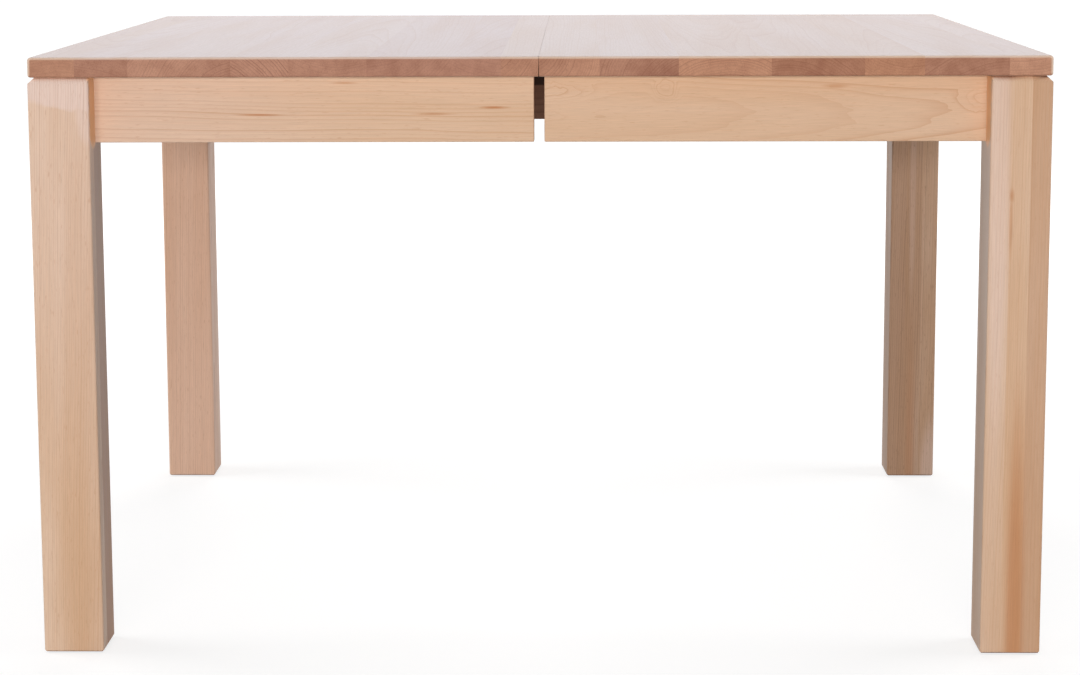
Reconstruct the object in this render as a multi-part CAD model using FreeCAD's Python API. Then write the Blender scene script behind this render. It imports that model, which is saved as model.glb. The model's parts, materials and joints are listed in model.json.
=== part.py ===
import FreeCAD, Part
import math
import os

# A square-legged dining table of solid maple. Its top and its aprons are split in the middle, and the two
# halves pull apart on a pair of wooden slides to take loose leaves.
# Millimetres. The origin is on the floor under the middle of the closed table. +X is right, +Y is back.

# The table as a whole
table_length = 1270.0
table_width = 1067.0
table_height = 762.0
leaf_opening = 610.0  # how far the halves pull apart
seam_gap = 0.2  # between the halves at the upper face
overrun = 3.0  # how far a cut runs past the face that it opens
bore_clearance = 0.1  # a fixed shank, pin or strip in its seat, on each side

# The two halves of the top
top_thickness = 25.0
top_upper_round = 4.5
top_lower_round = 3.0
top_corner_round = 6.0
seam_arris = 0.15
seam_undercut = 0.5  # how far each seam edge falls back from the upper face to the underside

# Legs
leg_width = 76.0
leg_edge_round = 3.0
leg_top_chamfer = 8.0
leg_foot_chamfer = 2.0
leg_flat_depth = 8.0  # the flat on the inner corner where the bolts go in

# Nail-on glides
glide_radius = 16.0
glide_thickness = 2.0
glide_edge_chamfer = 0.7
glide_nail_radius = 2.0
glide_nail_length = 18.0

# Aprons
apron_height = 84.5
apron_thickness = 22.0
apron_setback = 38.0  # from the outer faces of the legs
apron_gap = 13.0  # between the left and right aprons at the seam
apron_edge_round = 1.5

# Corner blocks
block_gap = 4.0  # from the inner corner of the leg
block_thickness = 25.0
block_height = 64.0
block_screw_wood = 10.0  # wood left under a screw's head
block_screw_share = 0.35  # along the block's end, from its near corner
block_screw_pitch_share = 0.6  # of the block's height

# Hanger bolts
bolt_radius = 4.0
bolt_bite = 36.0
bolt_tail = 5.0
bolt_clearance = 0.75
bolt_pitch_share = 0.45  # of the block's height
washer_radius = 11.0
washer_thickness = 2.0
nut_flat_width = 13.0
nut_height = 6.5

# Wood screws
screw_head_radius = 4.2
screw_head_height = 2.6
screw_head_dome_share = 0.7
screw_shank_radius = 2.1
screw_tip_length = 4.0
screw_recess_width_share = 0.3  # of the head's radius
screw_recess_length_share = 1.1  # of the head's radius
screw_recess_depth_share = 0.6  # of the head's height
screw_bite_share = 0.65  # of the board that a screw holds
counterbore_clearance = 0.8

# Wooden buttons that hold the top down
button_length = 40.0
button_depth = 34.0
button_height = 18.0
button_tongue_depth = 8.0
button_tongue_height = 8.0
button_clearance = 0.4
long_button_shares = (0.3, 0.8)  # along the clear run of a front or back apron, from the seam
end_button_shares = (0.2, 0.5, 0.8)  # along the clear run of an end apron

# Rails of the slides
rail_height = 64.0
rail_thickness = 25.0
rail_gap = 0.6
rail_inset = 71.5  # from the inner face of the apron
rail_end_clearance = 5.0
rail_reach_share = 0.88  # how far a rail reaches under the other half
rail_relief = 1.0  # room above what slides
rail_relief_start = 8.0
tongue_neck = 14.0
tongue_head = 20.0
tongue_depth = 8.0
tongue_height_share = 0.3  # of the rail's height
tongue_clearance = 0.35
rail_screw_line_share = 0.34  # of the rail's thickness, from its outer face
rail_screw_shares = (0.08, 0.5, 0.92)  # along the run of a rail under its own half
rail_counterbore_depth = 24.0

# Stop pins of the slides
stop_pin_radius = 2.5
stop_pin_inset = 40.0  # from the reaching end of the rail
stop_slot_depth = 4.0
stop_pin_reach = 3.0  # into the slot
stop_clearance = 0.5

# Equaliser gears
gear_module = 2.0
gear_face = 10.0
gear_height_share = 0.72  # of the rail's height
gear_addendum_share = 0.8  # of the module
gear_dedendum_share = 1.25  # of the module
gear_pressure_angle = math.radians(20)
gear_backlash = 0.3
gear_side_clearance = 0.5
gear_spare_teeth = 4  # past the travel at each end of a rack
gear_flank_steps = 4
rack_web = 3.5
axle_radius = 4.0
axle_cover = 6.0  # wood above the gear that the axle goes into
axle_clearance = 0.05

# Table pins and their bushes
pin_radius = 5.0
pin_bite = 30.0
pin_reach = 14.0
pin_tip_chamfer = 2.0
pin_clearance = 0.3
pin_end_room = 4.0
pin_place_shares = (-0.84, 0.0, 0.84)  # of half the table's width
bush_wall = 1.3

# Table locks
lock_place_share = 0.4  # of the slides' distance from the middle
lock_pivot_inset = 40.0  # from the seam
lock_stud_inset = 22.0  # from the seam
lock_seam_margin = 6.0
lock_plate_width = 26.0
lock_plate_thickness = 2.0
lock_screw_inset = 6.0
lock_screw_head_radius = 3.4
lock_screw_shank_radius = 1.6
lock_pivot_radius = 3.0
lock_pivot_head_radius = 6.0
lock_pivot_head_height = 1.5
lock_stud_radius = 3.0
lock_stud_tail = 1.0
hook_width = 18.0
hook_thickness = 3.0
hook_lip = 6.0
hook_slot_clearance = 0.4
hook_play = 0.8  # above the hook
hook_tab_depth = 12.0
hook_rest_angle = -90.0  # degrees from the locked place

# Planes and lines that several pieces share, as distances from the middle of the table
ORIGIN = FreeCAD.Vector()
ALONG = FreeCAD.Vector(1, 0, 0)
ACROSS = FreeCAD.Vector(0, 1, 0)
UP = FreeCAD.Vector(0, 0, 1)
half_length = table_length / 2
half_width = table_width / 2
half_travel = leaf_opening / 2
underside = table_height - top_thickness
apron_bottom = underside - apron_height
leg_inner_x = half_length - leg_width
leg_inner_y = half_width - leg_width
apron_inner_x = half_length - apron_setback - apron_thickness
apron_inner_y = half_width - apron_setback - apron_thickness
corner_x = min(leg_inner_x, apron_inner_x)
corner_y = min(leg_inner_y, apron_inner_y)
corner_inward = FreeCAD.Vector(-1, -1, 0).normalize()
screw_bite_top = screw_bite_share * top_thickness
screw_bite_apron = screw_bite_share * apron_thickness
block_screw_length = block_screw_wood + screw_bite_apron
button_screw_length = button_height + screw_bite_top
rail_screw_length = rail_height - rail_counterbore_depth + screw_bite_top

# The corner block's two long faces are lines of constant x + y
block_near_sum = corner_x + corner_y - block_gap * math.sqrt(2)
block_far_sum = block_near_sum - block_thickness * math.sqrt(2)
block_reach_x = block_far_sum - apron_inner_y
block_reach_y = block_far_sum - apron_inner_x
block_middle = (underside + apron_bottom) / 2

# The slides
rail_bottom = underside - rail_height
rail_face = rail_thickness / 2 + rail_gap
rail_back = rail_face + rail_thickness
slide_y = apron_inner_y - rail_inset - rail_back
rail_end = block_reach_x - rail_end_clearance
rail_reach = rail_reach_share * rail_end
tongue_z = rail_bottom + tongue_height_share * rail_height
stop_pin_x = rail_reach - stop_pin_inset
gear_z = rail_bottom + gear_height_share * rail_height
gear_addendum = gear_addendum_share * gear_module
gear_dedendum = gear_dedendum_share * gear_module
gear_teeth = 2 * math.ceil((rail_face + gear_addendum) / gear_module)
gear_radius = gear_module * gear_teeth / 2
gear_outer_radius = gear_radius + gear_addendum
gear_pitch = math.pi * gear_module
rack_back = gear_radius + gear_dedendum + rack_web
rack_short_teeth = gear_spare_teeth
rack_long_teeth = math.ceil(half_travel / gear_pitch) + gear_spare_teeth

# The locks
lock_y = lock_place_share * slide_y
lock_reach = lock_pivot_inset + lock_stud_inset
plate_bottom = underside - lock_plate_thickness
hook_top = plate_bottom - hook_play
hook_bottom = hook_top - hook_thickness


def point(x, y, z):
    return FreeCAD.Vector(x, y, z)


def block(low, high):
    """A box between two opposite corners."""
    size = high - low
    return Part.makeBox(size.x, size.y, size.z, low)


def rod(radius, start, end):
    """A round bar from start to end."""
    run = end - start
    return Part.makeCylinder(radius, run.Length, start, run)


def prism(outline, run):
    """A closed outline of points, pushed along run."""
    return Part.Face(Part.makePolygon(outline + outline[:1])).extrude(run)


def cut_away(shape, tools):
    """The shape less every tool."""
    return shape.cut(list(tools)) if tools else shape


def joined(first, others):
    """One solid out of several that touch."""
    return first.fuse(list(others)).removeSplitter()


def placed(shape, seat, direction):
    """A shape drawn at the origin along +Z, carried to a seat and turned to a direction."""
    turn = FreeCAD.Rotation(UP, direction)
    return shape.transformGeometry(FreeCAD.Placement(seat, turn).toMatrix())


def reflected(shape, side_x, side_y):
    """A piece of the back right quarter, carried to the quarter on the given sides."""
    if side_x < 0:
        shape = shape.mirror(ORIGIN, ALONG)
    if side_y < 0:
        shape = shape.mirror(ORIGIN, ACROSS)
    return shape


def edges_on(shape, test):
    """The edges whose two ends and middle all pass a test."""

    def passes(edge):
        middle = edge.valueAt((edge.FirstParameter + edge.LastParameter) / 2)
        return all(test(place) for place in [vertex.Point for vertex in edge.Vertexes] + [middle])

    return [edge for edge in shape.Edges if passes(edge)]


def upright_edges(shape):
    """The edges that run straight up."""
    ends = [(edge, edge.Vertexes[0].Point, edge.Vertexes[-1].Point) for edge in shape.Edges]
    return [edge for edge, low, high in ends if same(low.x, high.x) and same(low.y, high.y)]


def same(first, second):
    """Whether two coordinates are the same place."""
    return math.isclose(first, second, abs_tol=bore_clearance / 2)


def wood_screw(length):
    """A domed wood screw along +Z, its head below the origin."""
    dome = Part.makeCone(screw_head_dome_share * screw_head_radius, screw_head_radius, screw_head_height,
                         UP * -screw_head_height)
    shank = Part.makeCylinder(screw_shank_radius, length - screw_tip_length)
    tip = Part.makeCone(screw_shank_radius, 0, screw_tip_length, UP * (length - screw_tip_length))
    arm = screw_recess_length_share * screw_head_radius / 2
    thin = screw_recess_width_share * screw_head_radius / 2
    floor = -screw_head_height * (1 - screw_recess_depth_share)
    mouth = -screw_head_height - overrun
    recess = [block(point(-arm, -thin, mouth), point(arm, thin, floor)),
              block(point(-thin, -arm, mouth), point(thin, arm, floor))]
    return cut_away(joined(dome, [shank, tip]), recess)


def screw_hole(seat, direction, length):
    """The hole for a wood screw's shank, open at its seat."""
    end = seat + direction * (length + bore_clearance)
    return rod(screw_shank_radius + bore_clearance, seat - direction * bore_clearance, end)


def screw_counterbore(seat, direction, depth):
    """The wide hole that a screw's head goes in by."""
    return rod(screw_head_radius + counterbore_clearance, seat, seat - direction * depth)


def leg():
    """A square leg: eased edges, a chamfer under the top's edges and a flat for the bolts."""
    low = point(leg_inner_x, leg_inner_y, glide_thickness)
    shape = block(low, point(half_length, half_width, underside))
    shape = shape.makeFillet(leg_edge_round, upright_edges(shape))
    shape = shape.makeChamfer(leg_foot_chamfer, edges_on(shape, lambda p: same(p.z, low.z)))
    drop = leg_top_chamfer + overrun
    end_wedge = [point(half_length + overrun, leg_inner_y - overrun, underside - drop),
                 point(half_length + overrun, leg_inner_y - overrun, underside + overrun),
                 point(half_length - drop, leg_inner_y - overrun, underside + overrun)]
    side_wedge = [point(leg_inner_x - overrun, half_width + overrun, underside - drop),
                  point(leg_inner_x - overrun, half_width + overrun, underside + overrun),
                  point(leg_inner_x - overrun, half_width - drop, underside + overrun)]
    past = leg_width + 2 * overrun
    flat = leg_flat_depth * math.sqrt(2)
    flat_outline = [point(leg_inner_x, leg_inner_y, apron_bottom),
                    point(leg_inner_x + flat, leg_inner_y, apron_bottom),
                    point(leg_inner_x, leg_inner_y + flat, apron_bottom)]
    tools = [prism(end_wedge, ACROSS * past), prism(side_wedge, ALONG * past),
             prism(flat_outline, UP * (apron_height + overrun))]
    bolt_end = corner_inward * -(leg_flat_depth + bolt_bite + bore_clearance)
    for corner in bolt_corners():
        tools.append(rod(bolt_radius + bore_clearance, corner, corner + bolt_end))
    foot = leg_foot()
    tools.append(rod(glide_nail_radius + bore_clearance, foot,
                     foot + UP * (glide_thickness + glide_nail_length + bore_clearance)))
    return cut_away(shape, tools)


def leg_foot():
    """The point on the floor under the middle of the leg."""
    return point(half_length - leg_width / 2, half_width - leg_width / 2, 0)


def glide():
    """A round pad with a nail that goes up into the leg."""
    foot = leg_foot()
    rim = Part.makeCone(glide_radius - glide_edge_chamfer, glide_radius, glide_edge_chamfer, foot)
    pad = rod(glide_radius, foot + UP * glide_edge_chamfer, foot + UP * glide_thickness)
    nail = rod(glide_nail_radius, foot + UP * glide_thickness,
               foot + UP * (glide_thickness + glide_nail_length))
    return joined(pad, [rim, nail])


def bolt_corners():
    """The two points on the leg's inner corner where the axes of its bolts pass."""
    rise = bolt_pitch_share * block_height / 2
    return [point(leg_inner_x, leg_inner_y, block_middle + side * rise) for side in (-1, 1)]


def bolt_seat(corner):
    """The point on the corner block's inner face where a bolt comes out."""
    depth = (leg_inner_x + leg_inner_y - block_far_sum) / math.sqrt(2)
    return corner + corner_inward * depth


def hanger_bolts():
    """The bolts that draw the leg into the corner, with their washers and nuts."""
    bolts = []
    washers = []
    nuts = []
    for corner in bolt_corners():
        seat = bolt_seat(corner)
        nut_seat = seat + corner_inward * washer_thickness
        bolt_start = corner - corner_inward * (leg_flat_depth + bolt_bite)
        bolts.append(rod(bolt_radius, bolt_start, nut_seat + corner_inward * (nut_height + bolt_tail)))
        hole = rod(bolt_radius + bore_clearance, corner, nut_seat + corner_inward * (nut_height + overrun))
        washers.append(rod(washer_radius, seat, nut_seat).cut(hole))
        reach = nut_flat_width / math.sqrt(3)
        hexagon = [point(reach * math.cos(math.pi * side / 3), reach * math.sin(math.pi * side / 3), 0)
                   for side in range(6)]
        nuts.append(placed(prism(hexagon, UP * nut_height), nut_seat, corner_inward).cut(hole))
    return bolts, washers, nuts


def block_screw_places():
    """The seat and direction of each screw that holds the corner block to its two aprons."""
    near_x = block_near_sum - apron_inner_y
    near_y = block_near_sum - apron_inner_x
    slant_x = near_x + block_screw_share * (block_reach_x - near_x)
    slant_y = near_y + block_screw_share * (block_reach_y - near_y)
    places = []
    for side in (-1, 1):
        height = block_middle + side * block_screw_pitch_share * block_height / 2
        places.append((point(slant_x, apron_inner_y - block_screw_wood, height), ACROSS))
        places.append((point(apron_inner_x - block_screw_wood, slant_y, height), ALONG))
    return places


def corner_block():
    """The mitred block across the corner, bored for the leg's bolts and its own screws."""
    low = block_middle - block_height / 2
    outline = [point(block_near_sum - apron_inner_y, apron_inner_y, low),
               point(block_reach_x, apron_inner_y, low),
               point(apron_inner_x, block_reach_y, low),
               point(apron_inner_x, block_near_sum - apron_inner_x, low)]
    tools = []
    for corner in bolt_corners():
        tools.append(rod(bolt_radius + bolt_clearance, corner, bolt_seat(corner) + corner_inward * overrun))
    for seat, direction in block_screw_places():
        tools.append(screw_hole(seat, direction, block_screw_length))
        tools.append(screw_counterbore(seat, direction, block_thickness * math.sqrt(2)))
    return cut_away(prism(outline, UP * block_height), tools)


def block_screws():
    return [placed(wood_screw(block_screw_length), seat, direction)
            for seat, direction in block_screw_places()]


def button_places():
    """The middle of each button's face on its apron, with the direction into that apron.

    The first list is along the long apron and the second along the end apron.
    """
    clear_start = apron_gap / 2
    clear_run = block_reach_x - clear_start
    long_places = [(point(clear_start + share * clear_run, apron_inner_y, underside), ACROSS)
                   for share in long_button_shares]
    end_places = [(point(apron_inner_x, (2 * share - 1) * block_reach_y, underside), ALONG)
                  for share in end_button_shares]
    return long_places, end_places


def button(place, inward):
    """A wooden button: a block under the top with a tongue in the apron's slot."""
    along = UP.cross(inward)
    half = along * (button_length / 2)
    back = place - inward * button_depth - UP * button_height
    front = place - inward * button_clearance
    body = bounded(back - half, front + half)
    tongue_low = place - inward * button_clearance - UP * button_height
    tongue_high = place + inward * button_tongue_depth - UP * (button_height - button_tongue_height)
    tongue = bounded(tongue_low - half, tongue_high + half)
    seat = button_seat(place, inward)
    return cut_away(joined(body, [tongue]), [screw_hole(seat, UP, button_screw_length)])


def bounded(first, second):
    """A box between two opposite corners given in any order."""
    low = point(min(first.x, second.x), min(first.y, second.y), min(first.z, second.z))
    high = point(max(first.x, second.x), max(first.y, second.y), max(first.z, second.z))
    return block(low, high)


def button_slot(place, inward):
    """The slot in an apron that a button's tongue goes into."""
    half = UP.cross(inward) * (button_length / 2 + button_clearance)
    low = place - inward * overrun - UP * (button_height + button_clearance)
    high = (place + inward * (button_tongue_depth + button_clearance)
            - UP * (button_height - button_tongue_height - button_clearance))
    return bounded(low - half, high + half)


def button_seat(place, inward):
    return place - inward * (button_depth / 2) - UP * button_height


def long_apron():
    """A front or back apron of one half, from the seam's gap to the leg."""
    low = point(apron_gap / 2, apron_inner_y, apron_bottom)
    high = point(leg_inner_x, apron_inner_y + apron_thickness, underside)
    shape = block(low, high)
    eased = edges_on(shape, lambda p: same(p.z, low.z) and same(p.y, low.y))
    eased += edges_on(shape, lambda p: same(p.z, low.z) and same(p.y, high.y))
    eased += edges_on(shape, lambda p: same(p.z, low.z) and same(p.x, low.x))
    eased += [edge for edge in upright_edges(shape) if same(edge.Vertexes[0].X, low.x)]
    shape = shape.makeFillet(apron_edge_round, eased)
    tools = [button_slot(place, inward) for place, inward in button_places()[0]]
    for seat, direction in block_screw_places():
        tools.append(screw_hole(seat, direction, block_screw_length))
    return cut_away(shape, tools)


def end_apron():
    """The apron across the end of one half, between its two legs."""
    low = point(apron_inner_x, -leg_inner_y, apron_bottom)
    high = point(apron_inner_x + apron_thickness, leg_inner_y, underside)
    shape = block(low, high)
    eased = edges_on(shape, lambda p: same(p.z, low.z) and same(p.x, low.x))
    eased += edges_on(shape, lambda p: same(p.z, low.z) and same(p.x, high.x))
    shape = shape.makeFillet(apron_edge_round, eased)
    tools = [button_slot(place, inward) for place, inward in button_places()[1]]
    for seat, direction in block_screw_places():
        for side in (-1, 1):
            tools.append(reflected(screw_hole(seat, direction, block_screw_length), 1, side))
    return cut_away(shape, tools)


def slide_box(x_low, y_low, z_low, x_high, y_high, z_high):
    """A box whose y is counted from the middle of the slide."""
    return block(point(x_low, slide_y + y_low, z_low), point(x_high, slide_y + y_high, z_high))


def turned(shape):
    """A piece of the left half's side of a slide, turned to the right half's side."""
    return shape.rotated(point(0, slide_y, 0), UP, 180)


def tongue(grow, start, end):
    """The dovetail tongue on the centre rail's outer face, or the groove for it when grown."""
    face = slide_y + rail_thickness / 2
    tip = face + tongue_depth + grow
    slope = (tongue_head - tongue_neck) / (2 * tongue_depth)
    neck = tongue_neck / 2 + grow
    head = tongue_head / 2 + grow + slope * grow
    outline = [point(start, face, tongue_z - neck), point(start, tip, tongue_z - head),
               point(start, tip, tongue_z + head), point(start, face, tongue_z + neck)]
    return prism(outline, ALONG * (end - start))


def rail_screw_seats():
    """The points inside a left rail where its screws' heads sit."""
    run = rail_end - rail_relief_start
    line = slide_y + rail_back - rail_screw_line_share * rail_thickness
    return [point(share * run - rail_end, line, rail_bottom + rail_counterbore_depth)
            for share in rail_screw_shares]


def outer_rail():
    """The left half's rail of a slide: grooved for the tongue and for the rack."""
    shape = slide_box(-rail_end, rail_face, rail_bottom, rail_reach, rail_back, underside)
    tools = [slide_box(-rail_relief_start, rail_face - overrun, underside - rail_relief,
                       rail_reach + overrun, rail_back + overrun, underside + overrun)]
    tools.append(tongue(tongue_clearance, -rail_end - overrun, rail_reach + overrun))
    seat = bore_clearance
    tools.append(slide_box(rack_start() - seat, rail_face - overrun, gear_z - gear_face / 2 - seat,
                           rack_finish() + seat, rack_back, gear_z + gear_face / 2 + seat))
    for place in rail_screw_seats():
        tools.append(screw_hole(place, UP, rail_screw_length))
        tools.append(screw_counterbore(place, UP, rail_counterbore_depth + overrun))
    tools.append(stop_pin(bore_clearance))
    return cut_away(shape, tools)


def rail_screws():
    return [placed(wood_screw(rail_screw_length), seat, UP) for seat in rail_screw_seats()]


def stop_pin(grow):
    """The pin through the left rail that runs in the centre rail's slot, or the hole for it when grown."""
    tip = slide_y + rail_thickness / 2 + tongue_depth - stop_pin_reach
    return rod(stop_pin_radius + grow, point(stop_pin_x, tip, tongue_z),
               point(stop_pin_x, slide_y + rail_back, tongue_z))


def centre_rail():
    """The floating rail: a tongue on each side, slots for the stop pins and a mortise for the gear."""
    shape = slide_box(-rail_end, -rail_thickness / 2, rail_bottom,
                      rail_end, rail_thickness / 2, underside - rail_relief)
    edge = tongue(0, -rail_end, rail_end)
    shape = joined(shape, [edge, turned(edge)])
    tip = rail_thickness / 2 + tongue_depth
    room = stop_pin_radius + stop_clearance
    slot = slide_box(stop_pin_x - half_travel - room, tip - stop_slot_depth, tongue_z - room,
                     stop_pin_x + room, tip + overrun, tongue_z + room)
    wide = gear_outer_radius + gear_side_clearance
    tall = gear_face / 2 + gear_side_clearance
    mortise = slide_box(-wide, -rail_back, gear_z - tall, wide, rail_back, gear_z + tall)
    return cut_away(shape, [slot, turned(slot), mortise, axle(bore_clearance, overrun)])


def axle(grow, below):
    """The gear's upright axle, driven into the centre rail from below, or the hole for it when grown."""
    top = gear_z + gear_face / 2 + gear_side_clearance + axle_cover
    return rod(axle_radius + grow, point(0, slide_y, rail_bottom - below), point(0, slide_y, top + grow))


def rack_start():
    return -rack_short_teeth * gear_pitch


def rack_finish():
    return rack_long_teeth * gear_pitch


def rack():
    """The left rail's toothed strip, with a gap between teeth at the middle of the closed table."""
    lean = math.tan(gear_pressure_angle)
    half_tooth = gear_pitch / 4 - gear_backlash / 2
    root_half = half_tooth + gear_dedendum * lean
    tip_half = half_tooth - gear_addendum * lean
    root = slide_y + gear_radius + gear_dedendum
    tip = slide_y + gear_radius - gear_addendum
    low = gear_z - gear_face / 2
    outline = [point(rack_start(), slide_y + rack_back, low), point(rack_start(), root, low)]
    for tooth in range(-rack_short_teeth, rack_long_teeth):
        middle = tooth * gear_pitch + gear_pitch / 2
        outline += [point(middle - root_half, root, low), point(middle - tip_half, tip, low),
                    point(middle + tip_half, tip, low), point(middle + root_half, root, low)]
    outline += [point(rack_finish(), root, low), point(rack_finish(), slide_y + rack_back, low)]
    return prism(outline, UP * gear_face)


def involute(angle):
    return math.tan(angle) - angle


def pinion():
    """The equaliser gear, with a tooth pointing at each rack."""
    base = gear_radius * math.cos(gear_pressure_angle)
    root = gear_radius - gear_dedendum
    half_tooth = (gear_pitch / 4 - gear_backlash / 2) / gear_radius
    start = max(base, root)
    flank = [(root, half_tooth + involute(gear_pressure_angle))] if root < base else []
    for step in range(gear_flank_steps + 1):
        radius = start + (gear_outer_radius - start) * step / gear_flank_steps
        roll = math.acos(min(base / radius, 1))
        flank.append((radius, half_tooth + involute(gear_pressure_angle) - involute(roll)))
    outline = []
    for tooth in range(gear_teeth):
        middle = math.pi / 2 + 2 * math.pi * tooth / gear_teeth
        rising = [(radius, middle - spread) for radius, spread in flank]
        falling = [(radius, middle + spread) for radius, spread in reversed(flank)]
        for radius, turn in rising + falling:
            rim = point(math.cos(turn), math.sin(turn), 0) * radius
            outline.append(point(0, slide_y, gear_z - gear_face / 2) + rim)
    return prism(outline, UP * gear_face).cut(axle(axle_clearance, overrun))


def pin_places():
    """The points at the seam where the table pins cross it."""
    return [point(0, share * half_width, underside + top_thickness / 2) for share in pin_place_shares]


def table_pin(place, grow):
    """A round-ended pin set in the left half's seam edge, or the hole for it when grown."""
    start = place - ALONG * (pin_bite + grow)
    if grow:
        return rod(pin_radius + grow, start, place)
    shoulder = place + ALONG * (pin_reach - pin_tip_chamfer)
    tip = Part.makeCone(pin_radius, pin_radius - pin_tip_chamfer, pin_tip_chamfer, shoulder, ALONG)
    return joined(rod(pin_radius, start, shoulder), [tip])


def pin_bush(place):
    """A tube in the right half's seam edge that a table pin slides into."""
    mouth = place + ALONG * (seam_gap / 2 + seam_undercut)
    end = place + ALONG * (pin_reach + pin_end_room)
    bore = rod(pin_radius + pin_clearance, place, end + ALONG * overrun)
    return rod(pin_radius + pin_clearance + bush_wall, mouth, end).cut(bore)


def bush_hole(place):
    end = place + ALONG * (pin_reach + pin_end_room + bore_clearance)
    return rod(pin_radius + pin_clearance + bush_wall + bore_clearance, place, end)


def plate_screw_seats(inset):
    """The points for two screws on a lock plate's lower face, with its middle inset from the seam."""
    reach = inset - lock_seam_margin - lock_screw_inset
    return [point(inset + side * reach, lock_y, plate_bottom) for side in (-1, 1)]


def plate_screw(seat, grow):
    """A countersunk screw flush with a plate, or the hole for it when grown."""
    head = Part.makeCone(lock_screw_head_radius + grow, lock_screw_shank_radius + grow,
                         lock_plate_thickness, seat)
    length = lock_plate_thickness + screw_bite_top + grow
    return joined(head, [rod(lock_screw_shank_radius + grow, seat, seat + UP * length)])


def lock_plate(inset):
    """A plate under the top whose middle is inset from the seam, on the right of it."""
    half = inset - lock_seam_margin
    shape = block(point(inset - half, lock_y - lock_plate_width / 2, plate_bottom),
                  point(inset + half, lock_y + lock_plate_width / 2, underside))
    return cut_away(shape, [plate_screw(seat, bore_clearance) for seat in plate_screw_seats(inset)])


def lock_pivot(grow):
    """The rivet that the hook swings on, or the hole for it in the plate when grown."""
    middle = point(-lock_pivot_inset, lock_y, 0)
    neck = hook_bottom - bore_clearance
    shank = rod(lock_pivot_radius + grow, middle + UP * neck, middle + UP * underside)
    if grow:
        return shank
    head = rod(lock_pivot_head_radius, middle + UP * (neck - lock_pivot_head_height), middle + UP * neck)
    return joined(shank, [head])


def lock_hook():
    """The swivel hook, drawn in its locked place and swung back to rest."""
    pivot = point(-lock_pivot_inset, lock_y, hook_bottom)
    half = hook_width / 2
    slot_half = lock_stud_radius + hook_slot_clearance
    length = lock_reach + slot_half + hook_lip
    eye = rod(half, pivot, pivot + UP * hook_thickness)
    bar = block(pivot - ACROSS * half, pivot + point(length, half, hook_thickness))
    tab = block(pivot + point(length - hook_thickness, -half, -hook_tab_depth),
                pivot + point(length, half, hook_thickness))
    low = pivot - UP * overrun
    high = pivot + UP * (hook_thickness + overrun)
    ring = rod(lock_reach + slot_half, low, high).cut(rod(lock_reach - slot_half, low, high))
    mouth = block(low + point(0, -slot_half, 0), high + point(length, hook_width, 0))
    hole = rod(lock_pivot_radius + axle_clearance, low, high)
    shape = cut_away(joined(bar, [eye, tab]), [ring.common(mouth), hole])
    return shape.rotated(pivot, UP, hook_rest_angle)


def lock_keeper():
    """The right half's plate with the stud that the hook catches."""
    top = point(lock_stud_inset, lock_y, underside - lock_plate_thickness)
    stud = rod(lock_stud_radius, point(top.x, top.y, hook_bottom - lock_stud_tail), top)
    return joined(lock_plate(lock_stud_inset), [stud])


def slab():
    """The whole top with its rounded edges, before it is cut at the seam."""
    shape = block(point(-half_length, -half_width, underside), point(half_length, half_width, table_height))
    shape = shape.makeFillet(top_corner_round, upright_edges(shape))
    shape = shape.makeFillet(top_upper_round, edges_on(shape, lambda p: same(p.z, table_height)))
    return shape.makeFillet(top_lower_round, edges_on(shape, lambda p: same(p.z, underside)))


def seam_cut():
    """What is taken out of the top at the seam: a gap that widens downwards, eased above and below."""
    near = -half_width - overrun
    run = ACROSS * (table_width + 2 * overrun)
    gap = seam_gap / 2
    foot = gap + seam_undercut
    right = [(gap, table_height + overrun), (gap, table_height),
             (foot, underside), (foot, underside - overrun)]
    left = [(-x, z) for x, z in reversed(right)]
    tools = [prism([point(x, near, z) for x, z in right + left], run)]
    for face, mouth, out in ((table_height, gap, 1), (underside, foot, -1)):
        lip = mouth + seam_arris
        groove = [point(-lip, near, face), point(lip, near, face), point(0, near, face - out * lip)]
        tools.append(prism(groove, run))
    return tools


nodes = {}


def add(name, *shapes):
    """Keeps shapes as one named node, each of its solids a separate piece."""
    nodes[name] = [solid for shape in shapes for solid in shape.Solids]


sides = {"left": -1, "right": 1}
rows = {"front": -1, "back": 1}

# Legs, aprons and what holds each corner together
bolts, washers, nuts = hanger_bolts()
long_buttons, end_buttons = button_places()
button_screw = wood_screw(button_screw_length)
for half, side in sides.items():
    add(f"{half}_end_apron", reflected(end_apron(), side, 1))
    corner = {"corner_blocks": [corner_block()], "block_screws": block_screws(), "hanger_bolts": bolts,
              "leg_washers": washers, "leg_nuts": nuts, "foot_glides": [glide()]}
    for name, shapes in corner.items():
        add(f"{half}_{name}", *[reflected(shape, side, row) for row in rows.values() for shape in shapes])
    buttons = [reflected(button(*place), side, 1) for place in end_buttons]
    buttons += [reflected(button(*place), side, row) for row in rows.values() for place in long_buttons]
    add(f"{half}_top_buttons", *buttons)
    screws = [reflected(placed(button_screw, button_seat(*place), UP), side, 1) for place in end_buttons]
    screws += [reflected(placed(button_screw, button_seat(*place), UP), side, row)
               for row in rows.values() for place in long_buttons]
    add(f"{half}_button_screws", *screws)
    for row_name, row in rows.items():
        add(f"{row_name}_{half}_leg", reflected(leg(), side, row))
        add(f"{half}_{row_name}_apron", reflected(long_apron(), side, row))

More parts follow.
